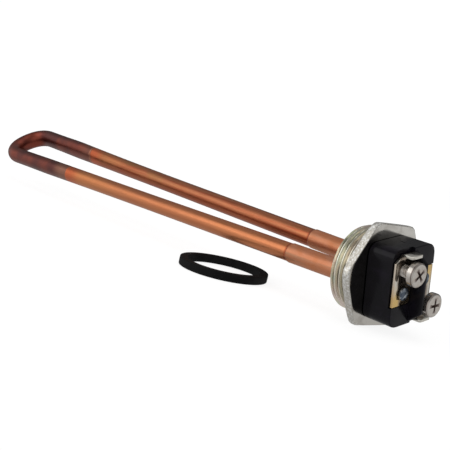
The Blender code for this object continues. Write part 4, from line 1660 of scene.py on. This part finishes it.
    def plate(self, side: Side, leg: Element) -> Piece:
        """One folded terminal plate with its two holes.

        Args:
            side: The terminal.
            leg: The element, for the pin's place.

        Returns:
            The piece.
        """
        shape = bmesh.new()
        rows = []
        for x, z, outer, inner in self.plate_rows():
            rows.append((shape.verts.new((x, outer, z)), shape.verts.new((x, inner, z))))
        for (a, b), (c, d) in zip(rows, rows[1:]):
            shape.faces.new((a, b, d, c))
        turn_about_x(shape, self.turned_by(side))
        piece = finished_piece(f"plate_{side.word}", shape, self.brass, Body.HEATER, self.crease)
        sheet = piece.modifiers.new("sheet", "SOLIDIFY")
        sheet.thickness = self.plate_thick
        sheet.offset = -1.0
        sheet.use_even_offset = True
        line, pin_row = self.pin_place(leg)
        tools = []
        holes = (("screw", self.shank_radius, self.screw_row), ("pin", self.pin_radius, pin_row))
        for label, radius, row in holes:
            hole = bore(self.face_x - 2.0 * MM, self.face_x + MM, radius + self.gap, (line, row))
            tools.append(placed(f"{label}_hole_{side.word}", turn_about_x(hole, self.turned_by(side))))
        carve(piece, tools)
        rim = piece.modifiers.new("rim", "BEVEL")
        rim.width = self.plate_rim
        rim.segments = 2
        rim.limit_method = "ANGLE"
        rim.angle_limit = math.radians(50)
        settle(piece, 40.0)
        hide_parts(f"terminal_plate_{side.word}")
        return piece

    def shank_radius_at(self, x: float, angle: float, tip: float, neck: float) -> float:
        """Radius of a screw's thread at a place.

        Args:
            x: Place along the screw.
            angle: Angle about it.
            tip: Where the shank ends.
            neck: Where it meets the head.

        Returns:
            The radius.
        """
        turn = (x / self.shank_pitch - angle / (2 * math.pi)) % 1.0
        rise = eased(1.0 - abs(turn - 0.5) * 2)
        limit = min(clamped((x - tip) / (0.8 * MM)), clamped((neck - x) / (0.5 * MM)))
        return self.shank_radius - self.shank_cut * (1 - min(rise, limit))

    def shank_rings(self, centre: Vector, tip: float, neck: float) -> list[list[Vector]]:
        """Rings of a screw's threaded shank.

        Args:
            centre: The screw's y and z.
            tip: Where the shank ends.
            neck: Where it meets the head.

        Returns:
            The rings from the tip to the head.
        """
        radii = (0.6 * MM, self.shank_radius - 0.75 * MM)
        rings = [around(radius, tip, tuple(centre), self.shank_columns) for radius in radii]
        start = tip + 0.15 * MM
        for i in range(self.shank_rows + 1):
            x = start + (neck - start) * i / self.shank_rows
            ring = []
            for k in range(self.shank_columns):
                angle = 2 * math.pi * k / self.shank_columns
                radius = self.shank_radius_at(x, angle, tip, neck)
                ring.append(Vector((x, centre.x + radius * math.cos(angle), centre.y + radius * math.sin(angle))))
            rings.append(ring)
        return rings

    def screw(self, side: Side, leg: Element) -> Piece:
        """One terminal screw with a threaded shank and a cross recess.

        Args:
            side: The terminal.
            leg: The element, for the terminals' line.

        Returns:
            The piece.
        """
        line, _ = self.pin_place(leg)
        centre = Matrix.Rotation(self.turned_by(side), 2) @ Vector((line, self.screw_row))
        under = self.face_x + self.head_gap
        top = under + self.head_height
        tip = under - self.shank_length
        soft = self.head_round
        head = [
            (under, self.shank_radius), (under, self.head_radius - 0.03 * MM),
            (top - 0.9 * soft, self.head_radius), (top - 0.12 * MM, self.head_radius - soft), (top, 1.2 * MM),
        ]
        rings = self.shank_rings(centre, tip, under)
        for x, radius in rounded(head, self.head_edge, 5)[1:]:
            rings.append(around(radius, x, tuple(centre), self.shank_columns))
        shape = rings_shape(rings, (Vector((tip, *centre)), Vector((top, *centre))))
        piece = finished_piece(f"screw_{side.word}", shape, self.nickel, Body.of_screw(side), 38.0)
        tools = []
        for index in range(2):
            angle = self.cross[side] + index * math.pi / 2
            tools.append(self.cross_wing(f"wing_{side.word}_{index}", Vector((top, *centre)), angle))
        carve(piece, tools)
        settle(piece, 38.0)
        self.mark_painted_shade(piece, Vector((top, *centre)), self.cross[side])
        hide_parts(f"terminal_screw_{side.word}")
        return piece

    def cross_wing(self, name: str, top: Vector, angle: float) -> Piece:
        """One tapered slot of the cross recess.

        Args:
            name: Name of the tool.
            top: Middle of the head's face.
            angle: Its turn about the screw.

        Returns:
            The tool.
        """
        rings = []
        for depth, reach, half in self.cross_levels:
            corners = [(-reach, -half), (reach, -half), (reach, half), (-reach, half)]
            flat = rounded(corners, half * 0.8, 3, closed=True)
            spun = [Matrix.Rotation(angle, 2) @ Vector(point) for point in flat]
            rings.append([Vector((top.x + depth, top.y + point.x, top.z + point.y)) for point in spun])
        first, last = (top + Vector((self.cross_levels[i][0], 0.0, 0.0)) for i in (0, -1))
        return placed(name, rings_shape(rings, (first, last)))

    def mark_painted_shade(self, piece: Piece, top: Vector, turn: float) -> None:
        """Marks the points of a screw that lie in its recess, for the finish to darken.

        Args:
            piece: The screw.
            top: Middle of the head's face.
            turn: The recess's turn.
        """
        # Points in the cross recess get 1, where the finish paints shade.
        marks = piece.data.attributes.new("painted_shade", "FLOAT", "POINT")
        for vert, mark in zip(piece.data.vertices, marks.data):
            off = Vector((vert.co.y - top.y, vert.co.z - top.z))
            spun = Matrix.Rotation(-turn, 2) @ off
            inside = off.length < 2.4 * MM and top.x - 1.9 * MM < vert.co.x < top.x - 0.02 * MM
            narrow = min(abs(spun.x), abs(spun.y)) < 0.6 * MM
            mark.value = 1.0 if inside and narrow else 0.0

    def pin(self, side: Side, leg: Element) -> Piece:
        """One cold pin: a long stem and a swaged head with a low dome.

        Args:
            side: The terminal.
            leg: The element.

        Returns:
            The piece.
        """
        centre = leg.axis(side)
        head_x = self.face_x + self.gap
        top = head_x + self.pin_head_height
        stop = head_x - self.pin_stem
        profile = [(top, 0.0), (top - 0.03 * MM, 0.9 * MM), (top - 0.18 * MM, 1.7 * MM)]
        head = [
            (top - 0.3 * MM, 2.1 * MM), (top - 0.5 * MM, self.pin_head_radius), (head_x, self.pin_head_radius),
            (head_x, self.pin_radius), (stop, self.pin_radius),
        ]
        profile += rounded(head, 0.2 * MM, 4)
        profile += [(leg.kink_x, self.pin_radius), (leg.kink_x, 0.0)]
        shape = lathe(profile, centre, 48)
        for vert in shape.verts:
            if vert.co.x > top - 0.5 * MM:
                dent = noise.noise(vert.co * 900.0 + Vector((side.value * 5.0, 0, 0)))
                vert.co.x -= self.pin_dents * max(0.0, dent)
        piece = finished_piece(f"pin_{side.word}", shape, self.steel, Body.HEATER, 40.0)
        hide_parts(f"cold_pin_{side.word}")
        return piece

    def build(self, leg: Element) -> list[Piece]:
        """Builds the block and both terminals.

        Args:
            leg: The element, for the pins' places.

        Returns:
            The pieces.
        """
        pieces = [self.block(leg)]
        for side in Side:
            pieces += [self.plate(side, leg), self.pin(side, leg), self.screw(side, leg)]
        return pieces


@dataclass
class Gasket:
    """The flat rubber ring beside the heater."""

    inner: float = 15.0 * MM
    outer: float = 18.5 * MM
    thick: float = 3.3 * MM
    edge: float = 0.4 * MM
    flash: float = 0.05 * MM
    centre: tuple[float, float] = (-64.0 * MM, -15.1 * MM)
    floor: float = -19.05 * MM
    finish: Finish = field(default_factory=BlackRubber)

    def build(self) -> list[Piece]:
        """Builds the ring with a faint mould line round it.

        Returns:
            The pieces.
        """
        middle, side = self.thick / 2, self.outer - self.flash
        line = [
            (0.0, self.inner), (0.0, side), (middle - 0.1 * MM, side), (middle, self.outer),
            (middle + 0.1 * MM, side), (self.thick, side), (self.thick, self.inner),
        ]
        shape = lathe(rounded(line, self.edge, 5, closed=True), (0.0, 0.0), 160, closed=True)
        stand = Matrix.Translation((*self.centre, self.floor)) @ Matrix.Rotation(math.radians(-90), 4, "Y")
        shape.transform(stand)
        ring = finished_piece("sealing_ring", shape, self.finish, Body.HEATER, 50.0)
        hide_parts("gasket")
        return [ring]


# Studio


@dataclass(frozen=True)
class Panel:
    """A soft light of the studio."""

    name: str
    place: Place
    aim: Place
    size: tuple[float, float]
    watts: float
    colour: Colour = (1.0, 1.0, 1.0)


@dataclass
class Studio:
    """A pale bowl shaped sweep, soft lights, a graded room and the camera at the photograph's view."""

    place: Vector = field(default_factory=lambda: Vector((200.3, -278.4, 50.1)) * MM)
    right: Vector = field(default_factory=lambda: Vector((0.6607, 0.7175, 0.2207)))
    up: Vector = field(default_factory=lambda: Vector((-0.2483, -0.0685, 0.9662)))
    back: Vector = field(default_factory=lambda: Vector((0.7084, -0.6932, 0.1329)))
    lens: float = 74.2
    sensor: float = 36.0
    floor: float = -19.15 * MM
    floor_radius: float = 1.5
    cove_radius: float = 0.6
    wall_height: float = 1.3
    paper: Colour = (0.22, 0.22, 0.22)
    paper_tooth: Colour = (0.25, 0.25, 0.25)
    glow: float = 0.86
    front: float = 0.92
    behind: float = 0.05
    overhead: float = 0.36
    below: float = 0.56
    bounce: float = 0.72
    bounce_from: Place = (0.708, 0.693, -0.133)
    panels: tuple[Panel, ...] = (
        Panel("key", (-0.45, -0.75, 0.40), (-0.08, 0.0, 0.0), (0.9, 0.7), 2.2),
        Panel("top", (-0.10, 0.10, 0.95), (-0.10, 0.0, 0.0), (0.9, 0.9), 2.0),
    )

    def camera(self) -> None:
        """Sets up the camera."""
        data = bpy.data.cameras.new("photo_view")
        data.lens = self.lens
        data.sensor_width = self.sensor
        data.clip_start = 0.01
        data.clip_end = 50.0
        camera = bpy.data.objects.new("photo_view", data)
        bpy.context.scene.collection.objects.link(camera)
        rows = [(self.right[i], self.up[i], self.back[i], self.place[i]) for i in range(3)]
        camera.matrix_world = Matrix((*rows, (0.0, 0.0, 0.0, 1.0)))
        bpy.context.scene.camera = camera

    def sweep(self) -> None:
        """Lays the seamless sweep, which reflections pass by so that edges stay dark against it."""
        nodes = FinishNodes("PaperSweep")
        tooth = nodes.mottled(700.0, 3.0)
        pale = nodes.blend(nodes.spread(tooth, 0.3, 0.7, 0.0, 0.3), self.paper, self.paper_tooth)
        nodes.set(Base_Color=pale, Roughness=1.0, Specular_IOR_Level=0.0)
        nodes.set(Emission_Color=(1.0, 1.0, 1.0, 1.0), Emission_Strength=self.glow)
        corners = [(0.0, 0.0), (0.0, self.floor_radius)]
        for i in range(1, 17):
            angle = math.pi / 2 * i / 16
            rise, out = self.cove_radius * (1 - math.cos(angle)), self.cove_radius * math.sin(angle)
            corners.append((rise, self.floor_radius + out))
        corners.append((self.wall_height, self.floor_radius + self.cove_radius))
        shape = lathe(corners, (0.0, 0.0), 128)
        shape.transform(Matrix.Translation((0, 0, self.floor)) @ Matrix.Rotation(math.radians(-90), 4, "Y"))
        mesh = bpy.data.meshes.new("paper_sweep")
        shape.to_mesh(mesh)
        shape.free()
        sweep = bpy.data.objects.new("paper_sweep", mesh)
        bpy.context.scene.collection.objects.link(sweep)
        mesh.materials.append(nodes.material)
        sweep.visible_glossy = False

    def lights(self) -> None:
        """Hangs the panels."""
        for panel in self.panels:
            data = bpy.data.lights.new(panel.name, "AREA")
            data.shape = "RECTANGLE"
            data.size, data.size_y = panel.size
            data.energy = panel.watts
            data.color = panel.colour
            light = bpy.data.objects.new(panel.name, data)
            bpy.context.scene.collection.objects.link(light)
            light.location = panel.place
            light.rotation_mode = "QUATERNION"
            light.rotation_quaternion = (Vector(panel.aim) - Vector(panel.place)).to_track_quat("-Z", "Y")

    def room(self) -> None:
        """Sets the room's own light: bright in front, half as bright overhead and below, dark behind."""
        world = bpy.data.worlds.new("studio")
        bpy.context.scene.world = world
        world.use_nodes = True
        nodes = Nodes(world.node_tree)
        toward = nodes.tree.nodes.new("ShaderNodeTexCoord").outputs["Generated"]
        _, y, z = nodes.parts(toward)
        side = nodes.spread(y, 0.35, -0.55, self.behind, self.front)
        high = nodes.spread(z, 0.25, 0.75)
        low = nodes.spread(z, -0.10, -0.60)
        light = nodes.blend_value(high, side, self.overhead)
        light = nodes.blend_value(low, light, self.below)
        lobe = nodes.spread(nodes.dot(toward, self.bounce_from), 0.72, 0.90, 0.0, self.bounce)
        nodes.put(nodes.tree.nodes["Background"].inputs["Color"], nodes.math("MAXIMUM", light, lobe))

    def build(self) -> None:
        """Sets up the whole studio."""
        self.camera()
        self.sweep()
        self.lights()
        self.room()
        bpy.context.scene.view_settings.view_transform = "Standard"


def main() -> None:
    """Builds the heater piece by piece."""
    logging.basicConfig(level=logging.INFO, format="%(name)s: %(message)s", force=True)
    Studio().build()
    element = Element()
    groups: dict[str, Callable[[], list[Piece]]] = {
        "plug": lambda: Plug().build(element),
        "element": element.build,
        "terminals": lambda: Terminals().build(element),
        "gasket": Gasket().build,
    }
    for name, build in groups.items():
        for piece in build():
            LOG.info("%s: %s, %d faces", name, piece.name, len(piece.data.polygons))


if __name__ == "__main__":
    main()
